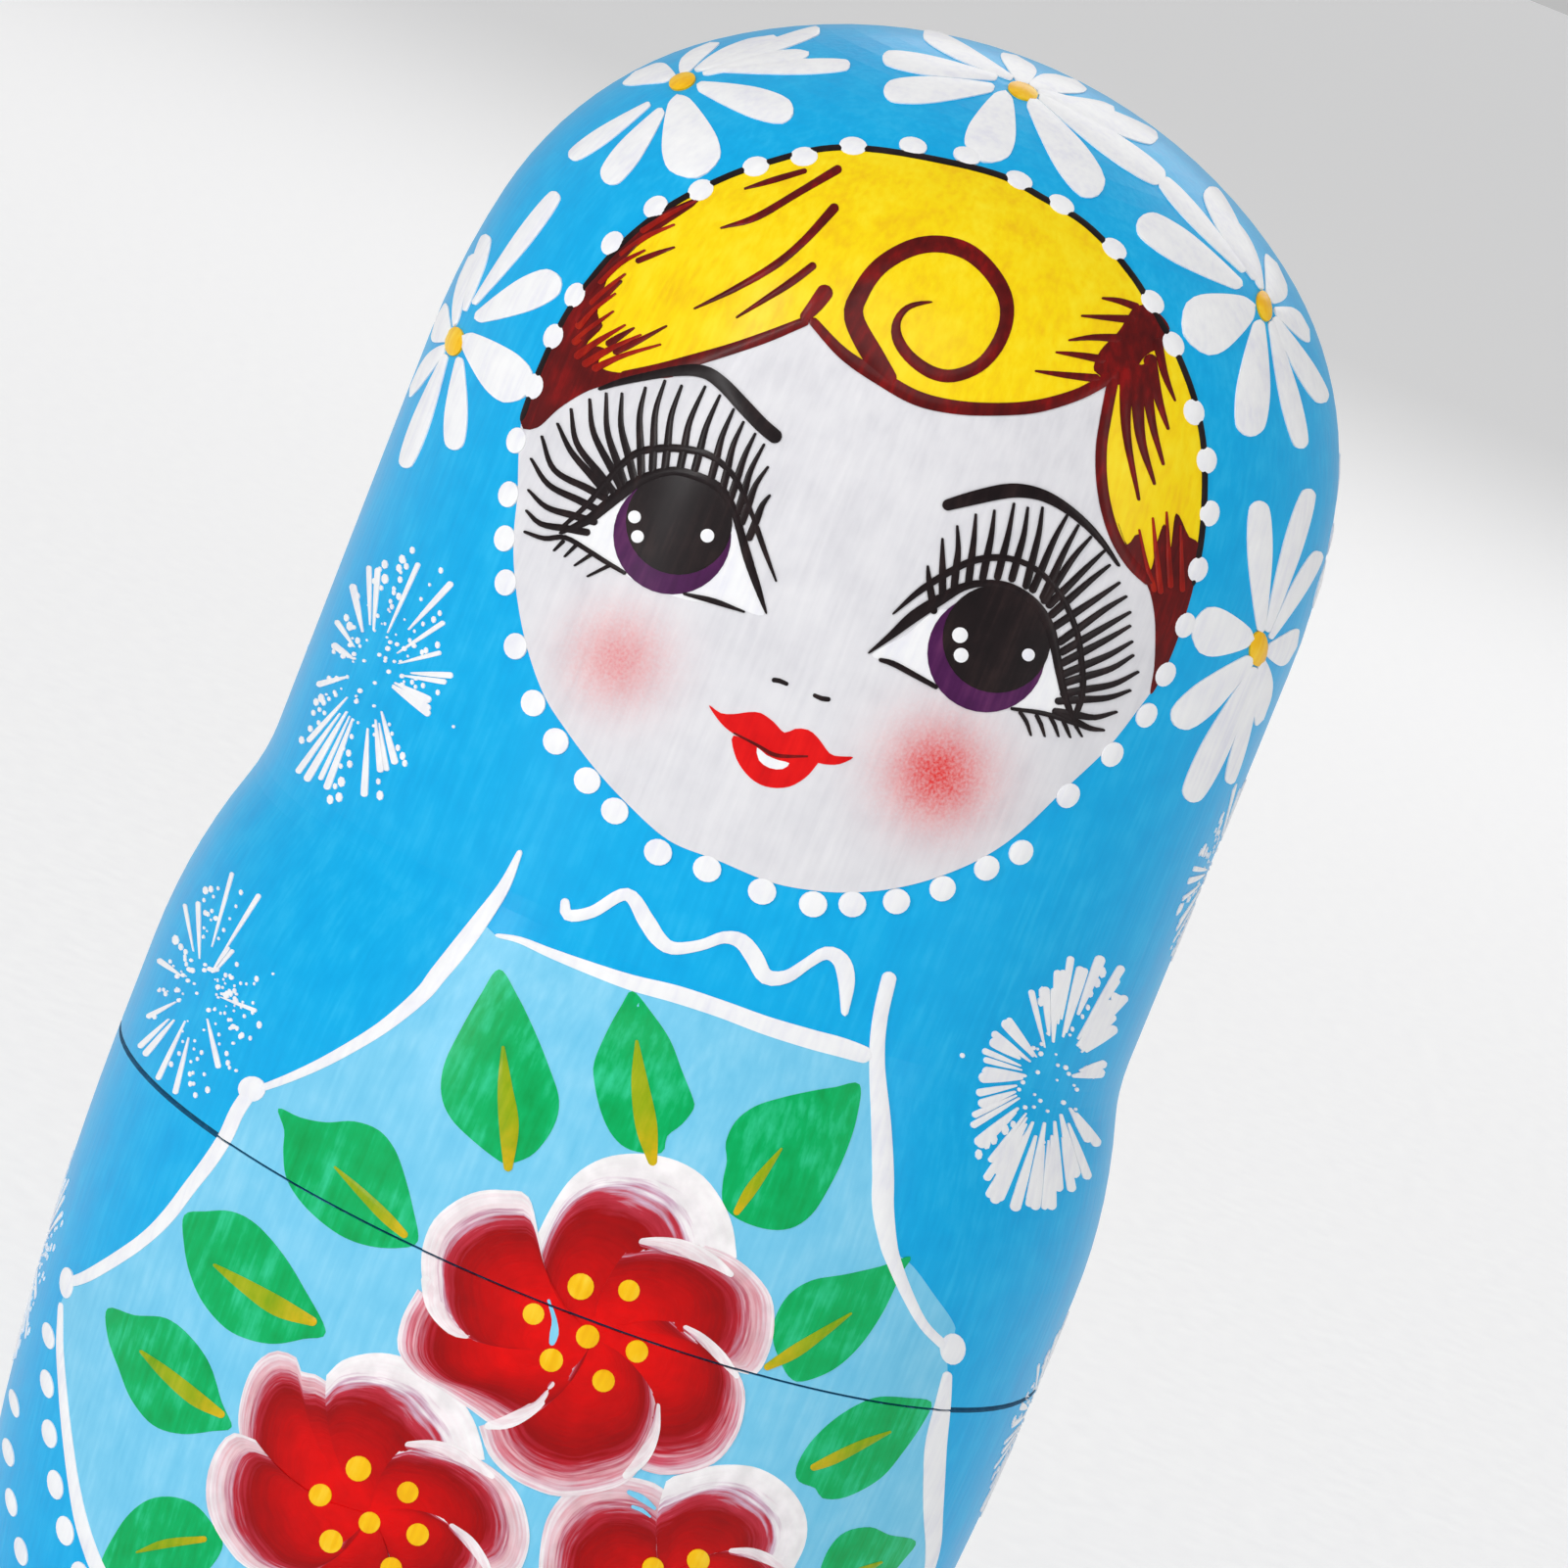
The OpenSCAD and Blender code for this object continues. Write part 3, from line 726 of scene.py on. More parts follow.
# Flowers: hearts, petals by their rims, the widths of the pale rim along each and how pink it is, pollen dots
FLOWERS = [
    {"heart": (605, 1365), "petals": [
        ([(548, 1262), (562, 1234), (580, 1207), (600, 1190), (625, 1180), (658, 1178), (691, 1185),
          (718, 1201), (737, 1226), (748, 1253), (752, 1284)], (26, 40, 54, 60), (0,)),
        ([(651, 1266), (688, 1265), (715, 1270), (745, 1281), (770, 1300), (787, 1324), (790, 1352),
          (785, 1379), (772, 1402), (752, 1400)], (20, 34, 36), (0.1, 0.5, 0.7, 0.5)),
        ([(699, 1352), (724, 1377), (748, 1393), (760, 1420), (757, 1451), (746, 1475), (729, 1493),
          (702, 1503), (674, 1505), (655, 1500)], (14, 26, 30), (0.15, 0.9, 0.9)),
        ([(489, 1456), (499, 1484), (518, 1505), (543, 1519), (570, 1527), (605, 1524), (640, 1512),
          (663, 1483), (672, 1456), (673, 1436)], (30, 34, 26), (0.75, 0.8, 0.5)),
        ([(427, 1316), (411, 1346), (407, 1377), (424, 1402), (449, 1417), (480, 1438), (505, 1454),
          (537, 1448), (559, 1426), (572, 1405)], (24, 30, 22), (0.8, 0.8, 0.5)),
        ([(484, 1364), (466, 1361), (449, 1349), (436, 1324), (431, 1297), (433, 1270), (444, 1245),
          (466, 1226), (490, 1216), (515, 1215), (540, 1222), (552, 1270)], (18, 34, 30, 24),
          (0.1, 0.2, 0.15))],
     "pollen": [(593, 1313, 13.5), (642, 1317, 11), (545, 1341, 11), (600, 1364, 12), (650, 1379, 11.5),
                (563, 1388, 12), (616, 1409, 11.5)]},
    {"heart": (680, 1615), "petals": [
        ([(552, 1640), (550, 1600), (554, 1565), (562, 1543), (577, 1524), (597, 1511), (620, 1507),
          (645, 1508), (668, 1514), (682, 1524)], (22, 34, 34), (0.55,)),
        ([(672, 1560), (676, 1536), (680, 1512), (698, 1504), (722, 1497), (750, 1495), (775, 1499),
          (798, 1512), (815, 1531), (823, 1553), (821, 1577), (808, 1604)], (26, 44, 46, 34), (0,)),
        ([(742, 1583), (763, 1581), (783, 1587), (806, 1602), (824, 1632), (822, 1668), (800, 1694),
          (772, 1704)], (16, 28, 28), (0.15, 0.6, 0.6)),
        ([(660, 1700), (690, 1738), (735, 1742), (772, 1718), (782, 1682)], (22, 32, 26), (0.7,)),
        ([(566, 1640), (556, 1668), (568, 1705), (602, 1728), (640, 1730), (672, 1706)], (22, 30, 26),
          (0.8,))],
     "pollen": [(666, 1600, 11), (712, 1592, 11.5), (640, 1625, 11), (690, 1632, 12), (730, 1640, 11),
                (662, 1660, 11.5)]},
    {"heart": (378, 1545), "petals": [
        ([(336, 1412), (322, 1403), (308, 1400), (303, 1386), (284, 1379), (268, 1386), (256, 1401),
          (247, 1427), (244, 1453), (249, 1476), (258, 1494)], (20, 30, 24), (0.6,)),
        ([(334, 1404), (350, 1389), (374, 1382), (398, 1382), (421, 1389), (445, 1401), (466, 1422),
          (483, 1448), (492, 1474), (495, 1490)], (26, 38, 44, 40), (0.05,)),
        ([(416, 1474), (438, 1471), (461, 1478), (490, 1490), (516, 1509), (532, 1530), (540, 1559),
          (539, 1582), (528, 1606), (500, 1618)], (18, 34, 34), (0.1, 0.5, 0.5)),
        ([(400, 1640), (440, 1656), (478, 1642), (500, 1610), (490, 1580), (457, 1552)], (24, 30, 16),
          (0.8, 0.7, 0.2)),
        ([(260, 1596), (285, 1640), (325, 1668), (370, 1664), (398, 1632)], (22, 32, 24), (0.7,)),
        ([(262, 1470), (240, 1463), (225, 1476), (214, 1502), (212, 1530), (218, 1554), (232, 1578),
          (250, 1598), (285, 1612), (318, 1604), (334, 1582)], (24, 34, 28, 18), (0.45,))],
     "pollen": [(367, 1499, 13), (328, 1526, 11.5), (417, 1523, 11), (378, 1554, 11), (427, 1566, 11.5),
                (339, 1573, 12), (400, 1600, 11)]}]

# Pale ends of petal strokes that cross the next petal, from the inner end out to the rim
HOOKS = [
    [(652, 1268, 8), (675, 1270, 15), (700, 1275, 17), (727, 1287, 13), (748, 1302, 5)],
    [(697, 1354, 6), (716, 1366, 10), (736, 1385, 11), (753, 1406, 5)],
    [(671, 1432, 5), (668, 1461, 10), (656, 1487, 13), (636, 1508, 6)],
    [(565, 1410, 5), (549, 1433, 11), (521, 1450, 14), (495, 1456, 6)],
    [(481, 1363, 8), (463, 1355, 15), (444, 1332, 17), (434, 1302, 8)],
    [(414, 1475, 7), (442, 1477, 14), (472, 1486, 14), (505, 1508, 5)],
    [(459, 1556, 6), (479, 1573, 11), (495, 1595, 9), (502, 1612, 4)],
    [(743, 1583, 6), (767, 1585, 11), (790, 1594, 10), (808, 1606, 4)]]
# Depth of a stroke's inner side below the rim, as a petal's depth counts, and how pink it is
HOOK_DEPTH = 1.25
HOOK_TONE = 0.25

# Small gaps in the flowers' paint, where the blue under it shows
CHIPS = [
    [(560, 1326, 3), (566, 1346, 5), (566, 1361, 9), (563, 1373, 5)],
    [(640, 1522, 4), (655, 1529, 7), (669, 1540, 3)],
    [(644, 1537, 3), (655, 1541, 4), (664, 1548, 2)]]

# Daisies: the centre by its place, radii and tilt, petals from base to tip with their widths, and petals
# that run over the doll's edge by their angle, length and width in millimetres
DAISIES = [
    {"centre": (697, 84, 14, 8, -20), "petals": [
        ((716, 72), (837, 31), 13), ((733, 72), (868, 67), 15), ((712, 88), (810, 117), 31),
        ((692, 98), (713, 182), 58), ((677, 112), (618, 187), 27), ((664, 106), (582, 162), 17)],
     "far": [(72, 13, 4), (112, 13, 5), (150, 12, 3.6), (190, 13, 4.5)]},
    {"centre": (465, 349, 9, 15, 10), "petals": [
        ((484, 311), (570, 197), 18), ((475, 318), (498, 240), 14), ((486, 326), (573, 284), 34),
        ((474, 343), (538, 404), 48), ((470, 365), (464, 460), 23), ((456, 362), (413, 478), 19)],
     "far": [(140, 12, 4), (178, 12, 4), (214, 13, 4)]},
    {"centre": (1044, 94, 16, 8, 22), "petals": [
        ((1034, 81), (943, 34), 17), ((1018, 80), (901, 59), 20), ((1015, 90), (902, 94), 27),
        ((1026, 94), (1003, 166), 50), ((1051, 102), (1121, 200), 37), ((1061, 98), (1188, 185), 25),
        ((1059, 93), (1181, 143), 20)], "far": [(100, 13, 4), (66, 13, 5), (28, 12, 3.4)]},
    {"centre": (1290, 313, 7, 16, -12), "petals": [
        ((1270, 278), (1185, 183), 18), ((1282, 286), (1233, 192), 22), ((1267, 293), (1162, 224), 34),
        ((1280, 312), (1208, 342), 62), ((1285, 327), (1275, 446), 34), ((1297, 328), (1329, 458), 20),
        ((1300, 324), (1352, 411), 20)], "far": [(70, 12, 4), (30, 12, 4.5), (-8, 12, 3.6)]},
    {"centre": (1284, 662, 9, 18, 5), "petals": [
        ((1287, 645), (1285, 511), 25), ((1293, 645), (1337, 499), 20), ((1296, 652), (1347, 563), 16),
        ((1279, 652), (1216, 641), 50), ((1278, 671), (1198, 740), 33), ((1281, 681), (1213, 818), 28),
        ((1287, 684), (1254, 800), 14)], "far": [(2, 13, 4), (-36, 13, 4)]}]
# Short dashes beside the apron, by their place and radii
DASHES = [
    (50, 1364, 5.5, 14), (48.5, 1413, 6, 15), (51, 1464, 7, 15), (57, 1516, 7.5, 15.5), (67, 1563, 8.5, 15.5),
    (82, 1609, 9, 15), (108, 1655, 9, 15), (140, 1700, 10, 14), (180, 1744, 11, 13), (15, 1433, 4, 15),
    (9, 1483, 5, 15), (12, 1534, 5, 15), (22, 1584, 6, 15), (38, 1632, 7, 15), (62, 1680, 8, 15),
    (92, 1728, 9, 15)]

# Dabs of a dry brush: the middle, how full the brush is, and the tips of the marks
DABS = [
    ((1074, 1101), 0.92, [
        (1054, 1001), (1070, 1003), (1082, 981), (1104, 976), (1121, 977), (1136, 979), (1144, 999),
        (1146, 1011), (1143, 1026), (1141, 1042), (1131, 1089), (1119, 1172), (1105, 1207), (1084, 1221),
        (1071, 1252), (1052, 1244), (1040, 1245), (1024, 1236), (1013, 1225), (1008, 1210), (998, 1193),
        (994, 1172), (990, 1148), (989, 1125), (993, 1097), (998, 1076), (1008, 1056), (1021, 1036)]),
    ((379, 685), 0.5, [
        (307, 795), (327, 812), (341, 823), (378, 816), (392, 799), (410, 791), (442, 729), (451, 714),
        (467, 692), (453, 664), (462, 625), (456, 588), (427, 558), (419, 558), (388, 566), (381, 568),
        (362, 592), (345, 625), (336, 658), (320, 697), (313, 729), (307, 764)]),
    ((205, 1010), 0.4, [
        (233, 885), (212, 894), (195, 919), (180, 953), (164, 976), (153, 1012), (144, 1044), (140, 1080),
        (164, 1106), (187, 1126), (205, 1128), (233, 1097), (253, 1064), (272, 1046), (264, 1030),
        (244, 1019), (265, 1006), (242, 987), (239, 967), (262, 898)])]

# Motifs that the photograph doesn't show, by angle in degrees, height in millimetres, for dabs how full the
# brush is, and the seed of their chance
BACK_DAISIES = [
    (-112, 186, 11), (-150, 210, 12), (172, 178, 13), (128, 208, 17), (98, 192, 19), (-128, 150, 23)]
BACK_DABS = [
    (86, 158, 0.6, 31), (86, 97, 0.6, 33), (-86, 73, 0.6, 35), (125, 118, 0.7, 37), (168, 134, 0.7, 39),
    (178, 70, 0.7, 41), (-132, 108, 0.7, 43), (-160, 44, 0.7, 45), (138, 52, 0.7, 47), (-112, 40, 0.7, 49),
    (66, 40, 0.7, 51)]


# Layers of paint: the rise of each above the wood, and its crown above that, in millimetres
LAYERS = {
    "apron": (0.08, 0), "border": (0.14, 0.12), "blob": (0.15, 0.2), "leaf": (0.13, 0),
    "vein": (0.17, 0.06), "heart": (0.12, 0.05), "petal": (0.14, 0.05), "hook": (0.28, 0.01),
    "chip": (0.3, 0.02), "pollen": (0.32, 0.12), "face": (0.1, 0), "nose": (0.16, 0.06),
    "lower_lip": (0.15, 0), "upper_lip": (0.16, 0), "mouth_gap": (0.19, 0), "lip_line": (0.2, 0.03),
    "lock": (0.15, 0), "hair_edge": (0.19, 0.04), "root": (0.2, 0), "strand": (0.21, 0.06),
    "streak": (0.23, 0.04), "eye_white": (0.14, 0), "iris": (0.18, 0.02), "pupil": (0.22, 0.02),
    "lash": (0.24, 0.04), "lid": (0.25, 0.06), "glint": (0.28, 0.1), "ring_dot": (0.2, 0.14),
    "dash": (0.12, 0.15), "daisy_petal": (0.13, 0.12), "daisy_centre": (0.2, 0.25), "dab": (0.1, 0.06),
    "speck": (0.1, 0.05)}

# Painting the motifs, with a fine grain on the outer doll and a coarse one for the copies on the inner dolls.
# Points along a stroke or edge, and those inside a patch, are so many pixels apart in the fine grain
FINE, COARSE = 1, 2.4
STEP = 7
WEAVE = 17
APRON_WEAVE = WEAVE * 1.3
LIP_WEAVE = STEP * 2
# A drop wider than this many pixels has twice the sides
LARGE_DROP = 30


def spread(grain):
    """Points across a stroke, less one."""
    return 4 if grain == FINE else 2


def patch(coat, colour, outline, spacing, layer):
    """Flat paint inside an outline."""
    coat.lay(colour, fill(outline, spacing, LAYERS[layer][0]))


def round_patch(coat, colour, points, grain, layer, spacing=WEAVE):
    """Flat paint inside a smooth outline through points."""
    patch(coat, colour, smooth(points, STEP * grain, closed=True), spacing * grain, layer)


def strokes(coat, colour, lines, grain, layer):
    """Brush strokes along lines in the photograph."""
    for line in lines:
        coat.lay(colour, ribbon(line, STEP * grain, *LAYERS[layer], spread(grain)))


def drop(coat, colour, chart, x, y, wide, tall, grain, layer, turn=0):
    """Domed dot, with fewer sides on the inner dolls and more on a large one."""
    sides, rings_in = (18, 3) if grain == FINE else (10, 2)
    if wide > LARGE_DROP:
        sides *= 2
    coat.lay(colour, dome(x, y, wide, tall, *LAYERS[layer], turn, sides, rings_in), chart)


def edge_between(first, last):
    """Stretch of the face's edge from one of its points clockwise to another."""
    start, end = FACE_EDGE.index(first), FACE_EDGE.index(last)
    return FACE_EDGE[start:end + 1] if start <= end else FACE_EDGE[start:] + FACE_EDGE[:end + 1]


def paint_face(coat, grain):
    outline = smooth(FACE_EDGE, WEAVE * grain / 2, closed=True)
    sheet = fill(outline, WEAVE * grain, LAYERS["face"][0])
    blush = np.zeros(len(sheet.flat))
    for x, y, reach, strength in BLUSHES:
        away = np.hypot(sheet.flat[:, 0] - x, sheet.flat[:, 1] - y) / reach
        blush += strength * np.exp(-BLUSH_FADE * away ** 2)
    sheet.marks["blush"] = blush
    coat.lay("face", sheet)
    strokes(coat, "line", NOSE, grain, "nose")
    round_patch(coat, "lip", UPPER_LIP, grain, "upper_lip", LIP_WEAVE)
    round_patch(coat, "lip", LOWER_LIP, grain, "lower_lip", LIP_WEAVE)
    round_patch(coat, "white", MOUTH_GAP, grain, "mouth_gap", LIP_WEAVE)
    strokes(coat, "brown", [LIP_LINE], grain, "lip_line")


# Widths of the brown line beside the side lock and of the dark line round the hair
SIDE_LINE_WIDTH = 11
HAIR_EDGE_WIDTH = 6


def paint_hair(coat, grain):
    over_top = edge_between((552, 379), (1176, 316))
    crown_lock = [over_top, [(1176, 340), (1150, 380)], CENTRE_LOCK_EDGE[::-1], LEFT_LOCK_EDGE]
    outer_side = edge_between((1198, 355), (1217, 598))
    side_lock = [SIDE_LOCK_EDGE, outer_side[::-1], [(1176, 345)]]
    for lock in (crown_lock, side_lock):
        outline = np.vstack([smooth(line, WEAVE * grain / 2) if len(line) > 2 else line for line in lock])
        patch(coat, "hair", outline, WEAVE * grain, "lock")
    for root in (LEFT_ROOT, RIGHT_ROOT, SIDE_ROOT):
        round_patch(coat, "brown", root, grain, "root")
    side_line = [(x, y, SIDE_LINE_WIDTH) for x, y in SIDE_LOCK_EDGE]
    brown_lines = [LEFT_LOCK_LINE, CENTRE_LOCK_LINE, CURL, side_line] + HAIR_STRANDS
    strokes(coat, "brown", brown_lines, grain, "strand")
    strokes(coat, "root", ROOT_STREAKS, grain, "streak")
    edge_line = [(x, y, HAIR_EDGE_WIDTH) for x, y in edge_between((533, 431), (1217, 598))]
    strokes(coat, "line", [edge_line], grain, "hair_edge")


def paint_eye(coat, grain, eye):
    round_patch(coat, "white", eye["white"], grain, "eye_white")
    for part, colour in (("iris", "iris"), ("pupil", "line")):
        x, y, radius = eye[part]
        drop(coat, colour, trace, x, y, radius, radius, grain, part)
    for lash in eye["lashes"]:
        bend, base = np.array(lash[1]), np.array(lash[2])
        under_lid = base + (base - bend) / np.linalg.norm(base - bend) * LASH_REACH
        line = [(x, y, width) for (x, y), width in zip(lash, LASH_WIDTHS)]
        strokes(coat, "line", [line + [(*under_lid, LASH_WIDTHS[-1])]], grain, "lash")
    strokes(coat, "line", [eye["outer_lid"], eye["inner_lid"], eye["brow"]] + eye["lower"], grain, "lid")
    for x, y, radius in eye["glints"]:
        drop(coat, "white", trace, x, y, radius, radius, grain, "glint")


# Radii of a dot in the ring in millimetres, and the tilt of a dash in degrees
DOT_WIDE = 1.42
DOT_TALL = DOT_WIDE * 0.92
DASH_TILT = -12


def paint_dots(coat, grain):
    for angle, run in trace(DOT_RING):
        drop(coat, "white", around(angle, run), 0, 0, DOT_WIDE, DOT_TALL, grain, "ring_dot")
    for x, y, wide, tall in DASHES:
        drop(coat, "white", trace, x, y, wide, tall, grain, "dash", DASH_TILT)


def paint_apron(coat, grain):
    edges = [APRON_TOP, APRON_RIGHT_1[3:], APRON_RIGHT_2, APRON_RIGHT_3, APRON_FOOT[::-1], APRON_LEFT_3[::-1],
             APRON_LEFT_2[::-1], APRON_LEFT_1[:1:-1]]
    outline = np.vstack([smooth(edge, WEAVE * grain / 2)[:, :2] for edge in edges])
    patch(coat, "apron", outline, APRON_WEAVE * grain, "apron")
    round_patch(coat, "apron", APRON_STRIP, grain, "apron")
    border = [APRON_TOP, APRON_LEFT_1, APRON_LEFT_2, APRON_LEFT_3, APRON_FOOT, APRON_RIGHT_1, APRON_RIGHT_2,
              APRON_RIGHT_3, WAVY_LINE]
    strokes(coat, "white", border, grain, "border")
    for x, y, wide, tall in APRON_BLOBS:
        drop(coat, "white", trace, x, y, wide, tall, grain, "blob")


def paint_leaves(coat, grain):
    for leaf in LEAVES:
        round_patch(coat, "leaf", leaf["edge"], grain, "leaf")
        strokes(coat, "vein", [leaf["vein"]], grain, "vein")


# Radius of a flower's heart in pixels, its depth below any rim, how much each petal rises over the one
# before, and the step along a petal's rim
HEART_RADIUS = 40
HEART_DEPTH = 4.0
PETAL_OVERLAP = 0.025
RIM_STEP = STEP * 1.5


def hook(line, grain):
    """Stroke that goes from pale on its outer side to the petal's red on its inner side."""
    sheet = ribbon(line, STEP * grain, *LAYERS["hook"], spread(grain))
    columns = spread(grain) + 1
    rows = len(sheet.flat) // columns
    inward = np.tile(np.linspace(0, HOOK_DEPTH, columns), rows)
    sheet.marks["depth"] = inward * (1 - sheet.marks["along"])
    sheet.marks["tone"] = np.full(len(sheet.flat), HOOK_TONE)
    return sheet


def paint_flowers(coat, grain):
    rise, crown = LAYERS["petal"]
    for flower in FLOWERS:
        heart = dome(*flower["heart"], HEART_RADIUS, HEART_RADIUS, *LAYERS["heart"])
        heart.marks["depth"] = np.full(len(heart.flat), HEART_DEPTH)
        coat.lay("petal", heart)
        for count, (rim, widths, tones) in enumerate(flower["petals"]):
            over = rise + PETAL_OVERLAP * count
            coat.lay("petal", fan(rim, flower["heart"], widths, tones, RIM_STEP * grain, over, crown))
        for x, y, radius in flower["pollen"]:
            drop(coat, "yellow", trace, x, y, radius, radius, grain, "pollen")
    for line in HOOKS:
        coat.lay("petal", hook(line, grain))
    strokes(coat, "apron", CHIPS, grain, "chip")


# A daisy's petal: shares of its length with shares of its width, and for petals in millimetres, how far from
# the middle they start and the step along them
PETAL_PROFILE = ((0, 0.3), (0.3, 0.72), (0.6, 1), (0.84, 0.95), (1, 0.68))
PETAL_START = 2.2
PETAL_STEP = 1.2
# Daisies on the back: the number of petals, how far each may turn, their lengths and widths, the centre's
# radii
BACK_PETALS = 8
BACK_TURN = 0.25
BACK_LENGTHS = (10, 15)
BACK_WIDTHS = (2.8, 4.8)
BACK_CENTRE = (1.5, 1.4)


def daisy_petal(base, tip, width):
    """Line of a petal that widens from its base to a round tip."""
    base, tip = np.array(base, float), np.array(tip, float)
    return [(*(base + share * (tip - base)), width * wide) for share, wide in PETAL_PROFILE]


def far_petal(coat, grain, chart, angle, length, width):
    """Petal by its size in millimetres, at an angle round the middle of a chart."""
    way = np.array([math.cos(angle), math.sin(angle)])
    line = daisy_petal(way * PETAL_START, way * length, width)
    coat.lay("white", ribbon(line, PETAL_STEP * grain, *LAYERS["daisy_petal"], spread(grain)), chart)


def paint_daisies(coat, grain):
    for daisy in DAISIES:
        strokes(coat, "white", [daisy_petal(*petal) for petal in daisy["petals"]], grain, "daisy_petal")
        x, y, wide, tall, turn = daisy["centre"]
        [(angle, run)] = trace([(x, y)])
        for degrees, length, width in daisy["far"]:
            far_petal(coat, grain, around(angle, run), math.radians(degrees), length, width)
        drop(coat, "yellow", trace, x, y, wide, tall, grain, "daisy_centre", turn)
    for degrees, height, seed in BACK_DAISIES:
        chance = np.random.default_rng(seed)
        chart = at_height(degrees, height)
        spin = chance.uniform(0, math.tau)
        for count in range(BACK_PETALS):
            angle = spin + (count + chance.uniform(-BACK_TURN, BACK_TURN)) / BACK_PETALS * math.tau
            far_petal(coat, grain, chart, angle, chance.uniform(*BACK_LENGTHS), chance.uniform(*BACK_WIDTHS))
        drop(coat, "yellow", chart, 0, 0, *BACK_CENTRE, grain, "daisy_centre")


# A dab's marks: two beside each tip by their turns, how far the turns wander, the shares of the reach at
# which they start and end, their widths in millimetres, the share of it that a dry brush leaves, the shares
# of it along a mark, and the step along a mark and the points across it
MARK_TURNS = (-0.05, 0.05)
MARK_WANDER = 0.04
MARK_STARTS = (0.34, 0.52)
MARK_ENDS = (0.88, 1)
MARK_WIDTHS = (0.7, 1.3)
DRY_WIDTH = 0.3
MARK_PROFILE = (0.25, 0.75, 1)
MARK_STEP = 1.5
MARK_ACROSS = 2
# Specks of a broken mark: the most of them, the chance of each, their shift, sizes and length
MARK_SPECKS = 6
SPECK_CHANCE = 0.8
SPECK_SHIFT = 0.3
SPECK_SIZES = (0.3, 0.55)
SPECK_LENGTH = 1.5
SPECK_SIDES, SPECK_RINGS = 7, 1
# Loose specks in the middle of a dab, and how far the doll's edge may stretch a speck
LOOSE_SPECKS = 40
LOOSE_SPREAD = 3.2
LOOSE_SIZES = (0.12, 0.3)
MOST_STRETCH = 3


def speck(coat, chart, x, y, wide, tall, unit):
    """Small drop of white, left out where the doll's edge would stretch it; unit is a millimetre."""
    left, right = chart(np.array([(x - wide, y), (x + wide, y)]))
    if abs(right[0] - left[0]) * RADIUS.max() < MOST_STRETCH * 2 * wide / unit * MM:
        coat.lay("white", dome(x, y, wide, tall, *LAYERS["speck"], 0, SPECK_SIDES, SPECK_RINGS), chart)


def broken_mark(coat, chart, middle, reach, start, width, unit, chance):
    """Row of specks from a start out to the end of a reach."""
    for share in np.linspace(start, 1, MARK_SPECKS):
        if chance.random() < SPECK_CHANCE:
            x, y = middle + reach * share + chance.uniform(-SPECK_SHIFT, SPECK_SHIFT, 2) * unit
            size = width * share * chance.uniform(*SPECK_SIZES)
            speck(coat, chart, x, y, size, size * SPECK_LENGTH, unit)


def full_mark(coat, grain, chart, middle, reach, start, width, unit):
    """Stroke that widens from a start out to the end of a reach."""
    shares = (start, (start + 1) / 2, 1)
    line = [(*(middle + reach * share), width * wide) for share, wide in zip(shares, MARK_PROFILE)]
    coat.lay("white", ribbon(line, MARK_STEP * unit * grain, *LAYERS["dab"], MARK_ACROSS), chart)


def paint_dab(coat, grain, chart, middle, tips, unit, fullness, chance):
    """Fan of dry brush marks round a middle, some full and some broken into specks; unit is a millimetre."""
    middle = np.array(middle, float)
    for tip in tips:
        for turn in MARK_TURNS:
            reach = np.array(tip) - middle
            aside = np.array([-reach[1], reach[0]])
            reach = reach + (turn + chance.uniform(-MARK_WANDER, MARK_WANDER)) * aside
            reach = reach * chance.uniform(*MARK_ENDS)
            start = chance.uniform(*MARK_STARTS)
            width = chance.uniform(*MARK_WIDTHS) * (DRY_WIDTH + (1 - DRY_WIDTH) * fullness) * unit
            if chance.random() < fullness:
                full_mark(coat, grain, chart, middle, reach, start, width, unit)
            else:
                broken_mark(coat, chart, middle, reach, start, width, unit, chance)
    for x, y in middle + chance.normal(0, LOOSE_SPREAD * unit, (LOOSE_SPECKS, 2)):
        size = chance.uniform(*LOOSE_SIZES) * unit
        speck(coat, chart, x, y, size, size, unit)


# Dabs on the back: their reach in millimetres, how much it varies and the number of tips
BACK_REACH = 13
BACK_VARIES = (0.8, 1.05)
BACK_TIPS = 22


def paint_dabs(coat, grain):
    for count, (middle, fullness, tips) in enumerate(DABS):
        chance = np.random.default_rng(count)
        paint_dab(coat, grain, trace, middle, tips, PIXELS_PER_MM, fullness, chance)
    for degrees, height, fullness, seed in BACK_DABS:
        chance = np.random.default_rng(seed)
        angles = np.linspace(0, math.tau, BACK_TIPS, endpoint=False)
        reaches = BACK_REACH * chance.uniform(*BACK_VARIES, BACK_TIPS)
        tips = np.column_stack([reaches * np.cos(angles), reaches * np.sin(angles)])
        paint_dab(coat, grain, at_height(degrees, height), (0, 0), tips, 1, fullness, chance)


def paint_all(grain):
    """The whole pattern of a doll."""
    coat = Coat()
    paint_apron(coat, grain)
    paint_leaves(coat, grain)
    paint_flowers(coat, grain)
    paint_face(coat, grain)
    paint_hair(coat, grain)
    for eye in EYES:
        paint_eye(coat, grain, eye)
    paint_dots(coat, grain)
    paint_daisies(coat, grain)
    paint_dabs(coat, grain)
    return coat


# Materials
def shade(red, green, blue):
    """Linear colour of a screen colour from 0 to 255."""
    linear = [value / 255 / 12.92 if value < 11 else ((value / 255 + 0.055) / 1.055) ** 2.4
              for value in (red, green, blue)]
    return (*linear, 1)


# Places of a mix node's colour sockets
MIX_FIRST, MIX_SECOND, MIX_RESULT = 6, 7, 2
# Settings that all materials share
SPECULAR = 0.08
COAT_ROUGHNESS = 0.2


